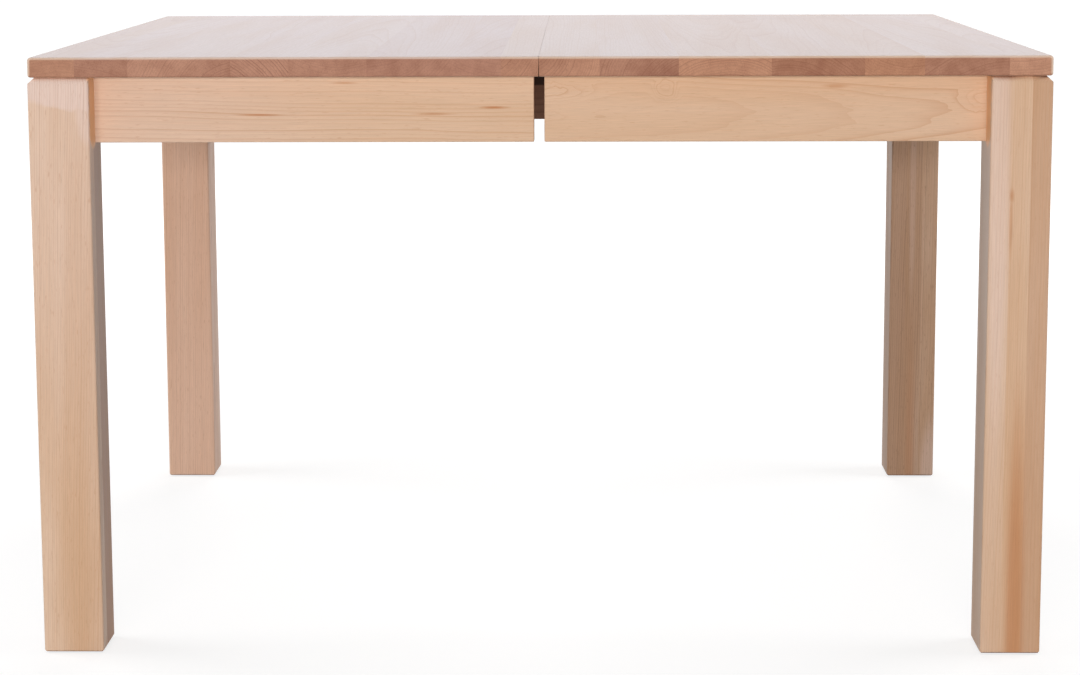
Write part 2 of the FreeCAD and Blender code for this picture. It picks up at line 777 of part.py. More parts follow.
# Slides
for row_name, row in rows.items():
    add(f"{row_name}_left_rail", reflected(outer_rail(), 1, row))
    add(f"{row_name}_right_rail", reflected(turned(outer_rail()), 1, row))
    add(f"{row_name}_centre_rail", reflected(centre_rail(), 1, row))
    add(f"{row_name}_left_rack", reflected(rack(), 1, row))
    add(f"{row_name}_right_rack", reflected(turned(rack()), 1, row))
    add(f"{row_name}_pinion", reflected(pinion(), 1, row))
    add(f"{row_name}_pinion_axle", reflected(axle(0, 0), 1, row))
add("left_stop_pins", *[reflected(stop_pin(0), 1, row) for row in rows.values()])
add("right_stop_pins", *[reflected(turned(stop_pin(0)), 1, row) for row in rows.values()])
left_screws = rail_screws()
right_screws = [turned(screw) for screw in left_screws]
add("left_rail_screws", *[reflected(screw, 1, row) for row in rows.values() for screw in left_screws])
add("right_rail_screws", *[reflected(screw, 1, row) for row in rows.values() for screw in right_screws])

# Table pins and locks
add("table_pins", *[table_pin(place, 0) for place in pin_places()])
add("pin_bushes", *[pin_bush(place) for place in pin_places()])
lock_base = lock_plate(lock_pivot_inset).mirror(ORIGIN, ALONG).cut(lock_pivot(bore_clearance))
base_screws = [plate_screw(seat, 0).mirror(ORIGIN, ALONG) for seat in plate_screw_seats(lock_pivot_inset)]
keeper_screws = [plate_screw(seat, 0) for seat in plate_screw_seats(lock_stud_inset)]
add("lock_bases", *[reflected(lock_base, 1, row) for row in rows.values()])
add("lock_pivots", *[reflected(lock_pivot(0), 1, row) for row in rows.values()])
add("lock_base_screws", *[reflected(screw, 1, row) for row in rows.values() for screw in base_screws])
add("lock_keepers", *[reflected(lock_keeper(), 1, row) for row in rows.values()])
add("keeper_screws", *[reflected(screw, 1, row) for row in rows.values() for screw in keeper_screws])
for row_name, row in rows.items():
    add(f"{row_name}_lock_hook", reflected(lock_hook(), 1, row))

# The two halves of the top, bored for every screw and pin that goes into them
top_holes = [table_pin(place, bore_clearance) for place in pin_places()]
top_holes += [bush_hole(place) for place in pin_places()]
for row in rows.values():
    for seat in rail_screw_seats():
        hole = screw_hole(seat, UP, rail_screw_length)
        top_holes += [reflected(hole, 1, row), reflected(turned(hole), 1, row)]
    for seat in plate_screw_seats(lock_pivot_inset):
        top_holes.append(reflected(plate_screw(seat, bore_clearance), -1, row))
    for seat in plate_screw_seats(lock_stud_inset):
        top_holes.append(reflected(plate_screw(seat, bore_clearance), 1, row))
    for side in sides.values():
        for place in long_buttons:
            top_holes.append(reflected(screw_hole(button_seat(*place), UP, button_screw_length), side, row))
for side in sides.values():
    for place in end_buttons:
        top_holes.append(reflected(screw_hole(button_seat(*place), UP, button_screw_length), side, 1))
for top in cut_away(slab(), seam_cut()).Solids:
    add("right_top" if top.CenterOfMass.x > 0 else "left_top", cut_away(top, top_holes))

os.makedirs("parts", exist_ok=True)
for name, solids in sorted(nodes.items()):
    shape = solids[0] if len(solids) == 1 else Part.makeCompound(solids)
    shape.exportStep(f"parts/{name}.step")
    print(f"{name}: {len(solids)} solid(s), {shape.Volume:.0f} mm3, valid {shape.isValid()}")
print(f"{len(nodes)} nodes, gears of {gear_teeth} teeth with a pitch radius of {gear_radius} mm")
print(f"gears at y {slide_y:.3f} and z {gear_z:.3f} mm")
print(f"lock pivots at y {lock_y:.3f} and z {hook_bottom:.3f} mm")
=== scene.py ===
# %% [markdown]
# # An extending maple dining table
# The table is solid maple: a top in two halves, aprons, square legs, and wooden slides that let the halves
# pull apart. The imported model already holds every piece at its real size, so this lesson is about looks:
# how timber is cut, glued and finished, and how to tell Blender about it.

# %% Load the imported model
import json
import math
from typing import NamedTuple

import bmesh
import bpy
from mathutils import Matrix, Vector

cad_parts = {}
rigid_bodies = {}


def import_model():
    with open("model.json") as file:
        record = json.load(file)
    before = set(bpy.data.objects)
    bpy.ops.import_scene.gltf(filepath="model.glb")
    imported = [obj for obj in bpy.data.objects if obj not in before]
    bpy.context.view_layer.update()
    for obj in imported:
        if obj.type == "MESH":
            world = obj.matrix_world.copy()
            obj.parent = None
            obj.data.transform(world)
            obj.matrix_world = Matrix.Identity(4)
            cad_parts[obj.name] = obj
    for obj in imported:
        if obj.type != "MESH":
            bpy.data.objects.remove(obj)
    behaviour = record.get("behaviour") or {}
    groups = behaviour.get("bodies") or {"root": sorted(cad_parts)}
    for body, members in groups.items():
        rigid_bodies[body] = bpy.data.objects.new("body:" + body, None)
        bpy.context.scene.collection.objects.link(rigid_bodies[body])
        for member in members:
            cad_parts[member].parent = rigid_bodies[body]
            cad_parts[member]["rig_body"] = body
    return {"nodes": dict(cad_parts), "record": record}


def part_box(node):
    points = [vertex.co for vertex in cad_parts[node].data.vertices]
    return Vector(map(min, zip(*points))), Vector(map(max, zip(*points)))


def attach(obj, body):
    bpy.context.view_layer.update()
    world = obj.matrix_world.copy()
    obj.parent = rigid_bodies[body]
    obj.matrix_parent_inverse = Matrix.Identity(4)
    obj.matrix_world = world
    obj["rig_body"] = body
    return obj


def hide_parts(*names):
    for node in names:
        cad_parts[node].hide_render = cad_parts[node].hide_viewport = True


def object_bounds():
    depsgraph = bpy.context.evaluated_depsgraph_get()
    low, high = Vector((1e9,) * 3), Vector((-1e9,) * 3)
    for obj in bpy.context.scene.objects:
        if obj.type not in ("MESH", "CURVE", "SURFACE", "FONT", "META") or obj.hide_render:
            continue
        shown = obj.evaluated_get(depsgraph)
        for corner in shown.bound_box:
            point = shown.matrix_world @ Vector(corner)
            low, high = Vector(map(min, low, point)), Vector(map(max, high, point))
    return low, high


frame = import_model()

cad_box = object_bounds()

# %% [markdown]
# ## The camera
# The photograph was taken from about three and a half metres away, just above the height of the top. Aiming
# the camera down makes upright legs lean in the picture. A lens shift lets the camera look down less, and a
# small one is enough here, because every other view of the table keeps it too.

# %% The camera
camera_place = Vector((0.054, -3.661, 0.963))
camera_tilt = math.radians(8.07)
camera_turn = math.radians(0.97)
camera_roll = math.radians(-0.19)
camera_lens = 84.4
camera_shift = -0.08
picture_size = (1080, 675)

lens = bpy.data.cameras.new("camera")
lens.lens = camera_lens
lens.shift_y = camera_shift
camera = bpy.data.objects.new("camera", lens)
camera.matrix_world = (Matrix.Translation(camera_place) @ Matrix.Rotation(camera_turn, 4, "Z")
                       @ Matrix.Rotation(math.pi / 2 - camera_tilt, 4, "X")
                       @ Matrix.Rotation(camera_roll, 4, "Z"))
bpy.context.scene.collection.objects.link(camera)
bpy.context.scene.camera = camera


def pixel(place):
    """Where a point of the room lands in the picture."""
    seen = camera.matrix_world.inverted() @ Vector(place)
    wide, high = picture_size
    scale = lens.lens / lens.sensor_width * wide / -seen.z
    return round(wide / 2 + seen.x * scale, 1), round(high / 2 - seen.y * scale + lens.shift_y * wide, 1)


low, high = cad_box
for place, y, z in (("front", low.y, high.z), ("front feet", low.y, low.z), ("back", high.y, high.z)):
    print(place, "corners at", pixel((low.x, y, z)), pixel((high.x, y, z)))

# %% [markdown]
# ## Nodes by function
# A material is a small program drawn as boxes and wires. Writing it in Python stays readable if one helper
# adds a box and fills its inputs, whether with a plain value or with a wire from another box.

# %% Helpers that wire nodes


def put(tree, kind, inputs=(), **options):
    """Adds a node, sets its options, and fills its inputs with values or with other nodes' outputs."""
    made = tree.nodes.new(kind)
    for option, value in options.items():
        setattr(made, option, value)
    for name, value in dict(inputs).items():
        if isinstance(value, bpy.types.NodeSocket):
            tree.links.new(value, made.inputs[name])
        else:
            made.inputs[name].default_value = value
    return made


def calc(tree, operation, *values):
    return put(tree, "ShaderNodeMath", enumerate(values), operation=operation).outputs[0]


def calc_vector(tree, operation, *values):
    made = put(tree, "ShaderNodeVectorMath", enumerate(values), operation=operation)
    return made.outputs["Value" if operation == "LENGTH" else "Vector"]


def fade(tree, value, start, end, first=0.0, last=1.0):
    """A smooth change from first to last while value goes from start to end."""
    inputs = {"Value": value, "From Min": start, "From Max": end, "To Min": first, "To Max": last}
    return put(tree, "ShaderNodeMapRange", inputs, interpolation_type="SMOOTHSTEP").outputs["Result"]


def blend(tree, share, first, second, mode="MIX"):
    """Two colours, mixed."""
    inputs = {"Factor": share, 6: first, 7: second}
    return put(tree, "ShaderNodeMix", inputs, data_type="RGBA", blend_type=mode).outputs[2]


def cloud(tree, place, per_metre, detail=2.0, output="Fac"):
    """Noise whose blobs come so many times per metre along each direction."""
    stretched = calc_vector(tree, "MULTIPLY", place, per_metre)
    inputs = {"Vector": stretched, "Scale": 1.0, "Detail": detail}
    return put(tree, "ShaderNodeTexNoise", inputs).outputs[output]


# %% Colours and empty materials


def paint(red, green, blue):
    """A colour as a paint chart gives it, 0 to 255, in the linear values that a node takes."""
    levels = [level / 255 for level in (red, green, blue)]
    return tuple(v / 12.92 if v <= 0.04045 else ((v + 0.055) / 1.055) ** 2.4 for v in levels) + (1.0,)


def new_material(name):
    made = bpy.data.materials.new(name)
    made.use_nodes = True
    made.node_tree.nodes.clear()
    return made, made.node_tree


white = paint(255, 255, 255)
print("white is", white)

# %% [markdown]
# ## Floor and light
# The table stands on a plain pale floor. A broad soft light stands well behind the camera and only a little
# higher, so the top throws almost no shadow on the aprons. Two hang high at the sides, one stands behind,
# and an even glow fills the rest. To the camera, floor and world are plain white, and the floor still keeps
# a faint shadow. Lacquer mirrors that white room, but not the lamps, which would leave glare.

# %% Floor
floor_reach = 60.0
floor_grey = paint(155, 155, 155)
near_lift = 0.755  # the white that the floor adds by the table
far_lift = 0.98  # and far off
lift_start = 1.0  # metres from the middle
lift_end = 4.0


def background_rays(tree):
    """1 for the rays that see the background as such, straight or in a reflection."""
    rays = put(tree, "ShaderNodeLightPath").outputs
    seen = calc(tree, "MAXIMUM", rays["Is Camera Ray"], rays["Is Glossy Ray"])
    return calc(tree, "MAXIMUM", seen, rays["Is Transmission Ray"])


floor_paint, tree = new_material("floor_paint")
matt = put(tree, "ShaderNodeBsdfDiffuse", {"Color": floor_grey})
away = calc_vector(tree, "LENGTH", put(tree, "ShaderNodeTexCoord").outputs["Object"])
lift = fade(tree, away, lift_start, lift_end, near_lift, far_lift)
lift = put(tree, "ShaderNodeEmission", {"Strength": calc(tree, "MULTIPLY", background_rays(tree), lift)})
both = put(tree, "ShaderNodeAddShader", {0: matt.outputs[0], 1: lift.outputs[0]})
put(tree, "ShaderNodeOutputMaterial", {"Surface": both.outputs[0]})

disc = bmesh.new()
bmesh.ops.create_circle(disc, cap_ends=True, segments=64, radius=floor_reach)
floor_mesh = bpy.data.meshes.new("floor")
disc.to_mesh(floor_mesh)
disc.free()
floor_mesh.materials.append(floor_paint)
floor = bpy.data.objects.new("floor", floor_mesh)
bpy.context.scene.collection.objects.link(floor)
print("floor out to", floor_reach, "m")

# %% World
world_glow = 0.2
mirrored_room = paint(238, 239, 248)

world = bpy.data.worlds.new("studio")
bpy.context.scene.world = world
world.use_nodes = True
tree = world.node_tree
tree.nodes.clear()
glow = fade(tree, background_rays(tree), 0.0, 1.0, world_glow, 1.0)
mirrored = put(tree, "ShaderNodeLightPath").outputs["Is Glossy Ray"]
room = blend(tree, mirrored, white, mirrored_room)
sky = put(tree, "ShaderNodeBackground", {"Color": room, "Strength": glow})
put(tree, "ShaderNodeOutputWorld", {"Surface": sky.outputs[0]})
bpy.context.scene.view_settings.view_transform = "Standard"
print("world of", len(tree.nodes), "nodes")

# %% Lights


def soft_light(name, place, target, size, power, colour):
    lamp = bpy.data.lights.new(name, "AREA")
    lamp.shape = "RECTANGLE"
    lamp.size, lamp.size_y = size
    lamp.energy = power
    lamp.color = colour[:3]
    holder = bpy.data.objects.new(name, lamp)
    holder.location = place
    holder.rotation_euler = (Vector(target) - Vector(place)).to_track_quat("-Z", "Y").to_euler()
    holder.visible_glossy = False
    bpy.context.scene.collection.objects.link(holder)
    print(name, power, "watts")


soft_light("front_light", place=(-0.28, -6.4, 1.26), target=(0, -0.3, 0.55), size=(3.5, 0.68), power=256,
           colour=paint(255, 251, 248))
for name, side in (("left_light", -1), ("right_light", 1)):
    soft_light(name, place=(3.6 * side, 0.3, 2.6), target=(0, 0, 0.5), size=(2.4, 1.6), power=72,
               colour=paint(250, 252, 255))
soft_light("back_light", place=(0, 4.9, 2.9), target=(0, 0, 0.45), size=(3.0, 1.6), power=115,
           colour=paint(255, 253, 250))

# %% [markdown]
# ## Timber is cut from a log
# Growth rings are tubes round the log's centre, the pith. A board only shows where the saw went through
# them: long lines on a quarter-sawn face, arches on a flat-sawn one, arcs on the end. So every board here
# remembers where in its log it lay, and the wood material draws the rings there. The same recipe then gives
# the right figure on every face.

# %% A board


class Board(NamedTuple):
    end: float  # where the board stops along the glue-up
    tone: float  # from 0, pale sapwood, to 1, brown heartwood
    warmth: float = 0.0  # from -1, cool and greyish, to 1, yellowish
    pith: tuple = (0.0, -0.1)  # from the board's middle to the pith, along the glue-up and square to it
    lean: tuple = (0.01, 0.02)  # how far the pith wanders off per metre of board
    boldness: float = 0.4  # how clearly its ends show the rings


AXES = {"x": 0, "y": 1, "z": 2}
merge_distance = 1e-6


def shape_of(node):
    """The node's shape as a mesh that can be worked on, its loose triangles merged into one skin."""
    work = bmesh.new()
    work.from_mesh(frame["nodes"][node].data)
    bmesh.ops.remove_doubles(work, verts=work.verts, dist=merge_distance)
    return work


def cut_between_boards(work, axis, boards):
    """Cuts the skin along each glue line, so that no face belongs to two boards."""
    normal = Vector([float(i == axis) for i in range(3)])
    for board in boards[:-1]:
        everything = work.verts[:] + work.edges[:] + work.faces[:]
        bmesh.ops.bisect_plane(work, geom=everything, plane_co=normal * board.end, plane_no=normal,
                               dist=merge_distance)


print("a board has", Board._fields)

# %% Its place in the log
log_spacing = 7.3  # metres between the stretches that two boards take from their logs


def place_in_log(mesh, grain, glue, start, boards, first_log):
    """Writes each board's place in its log, and its cast, on the mesh."""
    square = 3 - grain - glue
    heights = [v.co[square] for v in mesh.vertices]
    middle_height = (min(heights) + max(heights)) / 2
    log_place = mesh.attributes.new("log_place", "FLOAT_VECTOR", "CORNER")
    board_cast = mesh.attributes.new("board_cast", "FLOAT_VECTOR", "FACE")
    starts = [start] + [board.end for board in boards[:-1]]
    for face in mesh.polygons:
        number = next((i for i, b in enumerate(boards) if face.center[glue] < b.end), len(boards) - 1)
        board = boards[number]
        middle = (starts[number] + board.end) / 2
        board_cast.data[face.index].vector = (board.tone, board.warmth, board.boldness)
        for corner in face.loop_indices:
            spot = mesh.vertices[mesh.loops[corner].vertex_index].co
            along = spot[grain]
            across = spot[glue] - middle - board.pith[0] - board.lean[0] * along
            through = spot[square] - middle_height - board.pith[1] - board.lean[1] * along
            log_place.data[corner].vector = (along + log_spacing * (first_log + number), across, through)


# %% A piece of timber
timber_crease = math.radians(32)  # a sharper bend than this is an edge


def add_piece(name, mesh, body, node):
    """Puts a finished mesh into the scene in the node's stead, riding on its body."""
    piece = bpy.data.objects.new(name, mesh)
    bpy.context.scene.collection.objects.link(piece)
    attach(piece, body)
    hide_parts(node)
    return piece


def timber(node, body, grain, glue, boards, first_log, material):
    """A wooden piece in the node's shape, glued up from boards."""
    glue_axis = AXES[glue]
    work = shape_of(node)
    cut_between_boards(work, glue_axis, boards)
    mesh = bpy.data.meshes.new(node + "_timber")
    work.to_mesh(mesh)
    work.free()
    mesh.shade_smooth()
    mesh.set_sharp_from_angle(angle=timber_crease)
    place_in_log(mesh, AXES[grain], glue_axis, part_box(node)[0][glue_axis], boards, first_log)
    mesh.materials.append(material)
    piece = add_piece(mesh.name, mesh, body, node)
    weighted = piece.modifiers.new("even_shading", "WEIGHTED_NORMAL")
    weighted.keep_sharp = True
    print(piece.name, len(boards), "board(s)", len(mesh.polygons), "faces")


# %% [markdown]
# ## What a cut through the rings looks like
# Maple is pale and close-grained. Its ring lines are thin, its fibres fine, and its colour drifts from
# creamy pink to a warm tan. Ends drink more finish than faces and come out much darker. The recipe below is
# a node group, so that pieces share it: rings first, then drifts of colour, fibres, and the darker ends.
# Another wood only needs another palette, and so does a rosy board or one of brown heartwood.

# %% Palettes


class Palette(NamedTuple):
    pale: tuple  # faces, from pale to warm as the colour drifts
    warm: tuple
    brown: tuple  # faces of heartwood
    line: tuple  # the late wood of a ring on a face
    end_pale: tuple  # ends of sapwood, of heartwood, and the rings there
    end_brown: tuple
    end_line: tuple
    stain_and_shadow: tuple = paint(186, 116, 62)  # streaks, and on the slide a painted shadow
    bounce_light: tuple = paint(247, 195, 147)  # painted warm bounce light in a corner
    sapwood: tuple = paint(236, 214, 206)  # pale patches of sapwood, and a painted lighter foot on one leg


maple_colours = Palette(
    pale=paint(231, 204, 182), warm=paint(219, 182, 148), brown=paint(176, 128, 96), line=paint(186, 128, 86),
    end_pale=paint(218, 170, 144), end_brown=paint(137, 87, 69), end_line=paint(105, 61, 46))
top_colours = maple_colours._replace(pale=paint(233, 211, 197), warm=paint(223, 193, 169))
rosy_colours = maple_colours._replace(pale=paint(238, 202, 180), warm=paint(229, 185, 156),
                                      sapwood=paint(248, 210, 186))
heart_colours = maple_colours._replace(brown=paint(165, 127, 101), line=paint(112, 78, 56))
# The slide's stain colour paints the shadow that the top casts on it.
slide_colours = Palette(
    pale=paint(149, 112, 93), warm=paint(131, 96, 78), brown=paint(84, 56, 46), line=paint(58, 36, 28),
    end_pale=paint(96, 64, 50), end_brown=paint(62, 40, 32), end_line=paint(46, 28, 22),
    stain_and_shadow=paint(30, 18, 18))
block_colours = Palette(
    pale=paint(220, 190, 154), warm=paint(206, 168, 126), brown=paint(160, 116, 80), line=paint(168, 118, 78),
    end_pale=paint(188, 146, 108), end_brown=paint(130, 88, 60), end_line=paint(124, 82, 54))
cool_cast = paint(226, 214, 222)
yellow_cast = paint(240, 216, 170)
print("palettes of", len(Palette._fields), "colours")

# %% Rings
ring_waves = (1.5, 9.0, 9.0)  # slow waves in the rings per metre, along the grain and twice across it
ring_wander = 0.016  # how far they carry a ring, in metres
ripple_waves = (9.0, 90.0, 90.0)
ring_ripple = 0.0011
year_waves = 70.0  # runs of wide and narrow years per metre from the pith
year_shift = 0.006
late_wood = 5.0  # the higher, the thinner the dark line at the end of a year
faintest_year = 0.2
half_grey = (0.5, 0.5, 0.5)


def rings(tree, place, swell, ring_width):
    """How strongly a point lies in the dark late wood of a ring, and how far it is from the pith."""
    wander = calc_vector(tree, "SUBTRACT", cloud(tree, place, ring_waves, output="Color"), half_grey)
    wander = calc_vector(tree, "MULTIPLY", wander, (0.0, ring_wander, ring_wander))
    across = calc_vector(tree, "MULTIPLY", calc_vector(tree, "ADD", place, wander), (0.0, 1.0, 1.0))
    radius = calc(tree, "ADD", calc_vector(tree, "LENGTH", across), swell)
    ripple = calc(tree, "MULTIPLY", cloud(tree, place, ripple_waves), ring_ripple)
    years = put(tree, "ShaderNodeTexNoise", {"W": radius, "Scale": year_waves}, noise_dimensions="1D")
    uneven = calc(tree, "MULTIPLY", years.outputs["Fac"], year_shift)
    uneven = calc(tree, "ADD", calc(tree, "ADD", radius, ripple), uneven)
    count = calc(tree, "DIVIDE", uneven, ring_width)
    year = put(tree, "ShaderNodeTexWhiteNoise", {"W": calc(tree, "FLOOR", count)}, noise_dimensions="1D")
    strength = calc(tree, "MULTIPLY_ADD", year.outputs["Value"], 1.0 - faintest_year, faintest_year)
    late = calc(tree, "POWER", calc(tree, "FRACT", count), late_wood)
    return calc(tree, "MULTIPLY", late, strength), radius


print("slow waves carry a ring by up to", ring_wander / 2, "m either way")

# %% Faces and ends
fleck_waves = (90.0, 620.0, 620.0)
fleck_strength = 0.5
line_cover = 0.5
blotch_waves = (3.0, 70.0, 70.0)
blotch_strength = 0.08
pore_waves = (40.0, 620.0, 620.0)
pore_strength = 0.22
cast_strength = 0.5


def face_colour(tree, given, colours, drift, tone, lines):
    """A face along the grain: drifts of colour, then ring lines and flecks, then the marks."""
    face = blend(tree, drift, colours.pale, colours.warm)
    face = blend(tree, calc(tree, "MULTIPLY", tone, given["Depth"]), face, colours.brown)
    face = blend(tree, given["Sapwood and light"], face, colours.sapwood)
    flecks = cloud(tree, given["Place"], fleck_waves, detail=1.0)
    flecks = fade(tree, flecks, 0.58, 0.8, 0.0, fleck_strength)
    drawn = calc(tree, "MULTIPLY", calc(tree, "MAXIMUM", lines, flecks), given["Lines"])
    face = blend(tree, calc(tree, "MULTIPLY", drawn, line_cover), face, colours.line)
    face = blend(tree, given["Stain and shadow"], face, colours.stain_and_shadow)
    return blend(tree, given["Bounce light"], face, colours.bounce_light)


def end_colour(tree, given, colours, tone, lines):
    """An end: darker and blotchy, with pores, and with rings as bold as the board has them."""
    blotches = cloud(tree, given["Place"], blotch_waves, detail=3.0)
    blotches = fade(tree, blotches, 0.3, 0.7, -blotch_strength, blotch_strength)
    end = blend(tree, calc(tree, "ADD", tone, blotches), colours.end_pale, colours.end_brown)
    pores = fade(tree, cloud(tree, given["Place"], pore_waves, detail=1.0), 0.45, 0.75, 0.0, pore_strength)
    drawn = calc(tree, "MAXIMUM", calc(tree, "MULTIPLY", lines, given["Boldness"]), pores)
    return blend(tree, drawn, end, colours.end_line)


def with_cast(tree, colour, warmth):
    """The colour with the board's cool or yellow cast over it."""
    cool = calc(tree, "MAXIMUM", calc(tree, "MULTIPLY", warmth, -cast_strength), 0.0)
    yellow = calc(tree, "MAXIMUM", calc(tree, "MULTIPLY", warmth, cast_strength), 0.0)
    colour = blend(tree, cool, colour, cool_cast, "MULTIPLY")
    return blend(tree, yellow, colour, yellow_cast, "MULTIPLY")


print("pale ends have", round(maple_colours.end_pale[0] / maple_colours.pale[0], 2), "of a face's red")

# %% The whole figure
drift_waves = (1.6, 17.0, 17.0)
drift_tone = 0.16  # how far the drift of colour also moves the tone
fibre_waves = (22.0, 1300.0, 1300.0)
fibre_shade = 0.22
heart_tone = 0.22  # how much browner the wood is by the pith
heart_inside = 0.02  # from this radius on it fades
heart_outside = 0.12
end_from = 0.78  # how squarely a face has to cut the grain before it looks like an end
smoothest = 0.44
rough_drift = 0.06


def wood_figure(name, colours):
    """The node group that turns a place in the log into colour, roughness and relief."""
    tree = bpy.data.node_groups.new(name, "ShaderNodeTree")
    tree.interface.new_socket("Place", in_out="INPUT", socket_type="NodeSocketVector")
    for socket in ("Tone", "Warmth", "Boldness", "End grain", "Swell", "Stain and shadow", "Bounce light", "Sapwood and light",
                   "Lines", "Drift", "Depth", "Ring width"):
        tree.interface.new_socket(socket, in_out="INPUT", socket_type="NodeSocketFloat")
    tree.interface.new_socket("Colour", in_out="OUTPUT", socket_type="NodeSocketColor")
    for socket in ("Roughness", "Height", "Ends"):
        tree.interface.new_socket(socket, in_out="OUTPUT", socket_type="NodeSocketFloat")
    given = put(tree, "NodeGroupInput").outputs
    place = given["Place"]
    lines, radius = rings(tree, place, given["Swell"], given["Ring width"])
    drift = fade(tree, cloud(tree, place, drift_waves, detail=3.0), 0.3, 0.7, -0.5, 0.5)
    drift = calc(tree, "MULTIPLY_ADD", drift, given["Drift"], 0.5)
    heart = fade(tree, radius, heart_inside, heart_outside, heart_tone, 0.0)
    tone = calc(tree, "MULTIPLY_ADD", drift, drift_tone, -drift_tone / 2)
    tone = calc(tree, "ADD", calc(tree, "ADD", given["Tone"], tone), heart)
    tone = put(tree, "ShaderNodeClamp", {"Value": tone}).outputs[0]

    ends = fade(tree, given["End grain"], end_from, 1.0)
    face = face_colour(tree, given, colours, drift, tone, lines)
    colour = blend(tree, ends, face, end_colour(tree, given, colours, tone, lines))
    colour = with_cast(tree, colour, given["Warmth"])
    fibres = cloud(tree, place, fibre_waves, detail=1.0)
    shade = calc(tree, "MULTIPLY_ADD", fibres, fibre_shade, 1.0 - fibre_shade / 2)
    grain = calc_vector(tree, "SCALE", colour)
    tree.links.new(shade, grain.node.inputs["Scale"])

    rough = calc(tree, "MULTIPLY_ADD", drift, rough_drift, smoothest)
    relief = calc(tree, "SUBTRACT", calc(tree, "MULTIPLY", fibres, 0.5), lines)
    put(tree, "NodeGroupOutput", {"Colour": grain, "Roughness": rough, "Height": relief, "Ends": ends})
    return tree


maple_figure = wood_figure("maple_figure", maple_colours)
top_figure = wood_figure("top_figure", top_colours)
rosy_figure = wood_figure("rosy_figure", rosy_colours)
heart_figure = wood_figure("heart_figure", heart_colours)
slide_figure = wood_figure("slide_figure", slide_colours)
block_figure = wood_figure("block_figure", block_colours)
print("wood figures of", len(maple_figure.nodes), "nodes each")

# %% [markdown]
# ## Marks on a board
# A board has marks of its own: short golden mineral streaks, a spot where the rings close round a dimple in
# the log, a pale patch of sapwood. Other ovals are painted light: warm bounce light in the corners by the
# aprons, a shadow on the slide under the top, and a lighter foot on the back left leg. Each is a soft oval at
# a place on the table, worked out from Object coordinates, which stay with the piece when the table moves.

# %% Soft ovals
waver_waves = (60.0, 60.0, 60.0)


class Oval(NamedTuple):
    middle: tuple
    reach: tuple
    strength: float = 1.0
    core: float = 0.1  # share of the reach that keeps the full strength
    waver: float = 0.0  # how far the outline wanders, in metres


def ovals(tree, marks):
    """The strongest of several soft ovals at each point."""
    coordinates = put(tree, "ShaderNodeTexCoord").outputs["Object"]
    total = None
    for mark in marks:
        spot = coordinates
        if mark.waver:
            wander = cloud(tree, coordinates, waver_waves, detail=3.0, output="Color")
            wander = calc_vector(tree, "SUBTRACT", wander, half_grey)
            spot = calc_vector(tree, "MULTIPLY_ADD", wander, (mark.waver,) * 3, spot)
        offset = calc_vector(tree, "SUBTRACT", spot, mark.middle)
        offset = calc_vector(tree, "DIVIDE", offset, mark.reach)
        shade = fade(tree, calc_vector(tree, "LENGTH", offset), mark.core, 1.0, mark.strength, 0.0)
        total = shade if total is None else calc(tree, "MAXIMUM", total, shade)
    return total


print("an oval has", Oval._fields)

# %% [markdown]
# ## From figure to finish
# The figure needs to know where in the log a point lies. A glued-up piece has that written on its mesh. A
# piece cut from one block has it from its own coordinates, turned until the grain runs along X. Lacquer is
# the smooth skin over it, glossier on the top, which is rubbed down between coats.

# %% Reading the place in the log
lower_edge_shade = 0.5  # painted shade: lets the darker colour of an end run round its lower edge
block_boldness = 0.6


def on_boards(grain):
    """Reads place and cast as the glued-up piece carries them."""
    def read(tree):
        cast = put(tree, "ShaderNodeAttribute", attribute_name="board_cast").outputs["Vector"]
        cast = put(tree, "ShaderNodeSeparateXYZ", {0: cast}).outputs
        facing = put(tree, "ShaderNodeTexCoord").outputs["Normal"]
        facing = put(tree, "ShaderNodeSeparateXYZ", {0: facing}).outputs
        # Painted shade: a face turned down counts more as end grain, so a lower edge comes out darker.
        under = calc(tree, "MULTIPLY", calc(tree, "MINIMUM", facing[2], 0.0), -lower_edge_shade)
        cut = calc(tree, "ADD", calc(tree, "ABSOLUTE", facing[AXES[grain]]), under)
        return {"Place": put(tree, "ShaderNodeAttribute", attribute_name="log_place").outputs["Vector"],
                "Tone": cast[0], "Warmth": cast[1], "Boldness": cast[2], "End grain": cut}
    return read


def in_one_block(tone, pith, turn=0.0, mirrored=False):
    """Reads the place from Object coordinates, turned about the upright by an angle."""
    def read(tree):
        coordinates = put(tree, "ShaderNodeTexCoord").outputs
        spot = coordinates["Object"]
        if mirrored:
            spot = calc_vector(tree, "ABSOLUTE", spot)
        turned = {"Rotation": (0.0, 0.0, turn)}
        moved = {"Location": (log_spacing, -pith[0], -pith[1])}
        place = put(tree, "ShaderNodeMapping", {"Vector": spot, **turned, **moved}).outputs[0]
        facing = put(tree, "ShaderNodeMapping", {"Vector": coordinates["Normal"], **turned}).outputs[0]
        facing = put(tree, "ShaderNodeSeparateXYZ", {0: facing}).outputs[0]
        cut = calc(tree, "ABSOLUTE", facing)
        return {"Place": place, "Tone": tone, "Boldness": block_boldness, "End grain": cut}
    return read


print("glued-up pieces carry log_place and board_cast")

# %% Wood finishes
relief_height = 0.0005
lacquer_ior = 1.5
end_roughness = 0.3  # how much rougher ends are
end_sheen_loss = 0.7  # share of the sheen that they lack


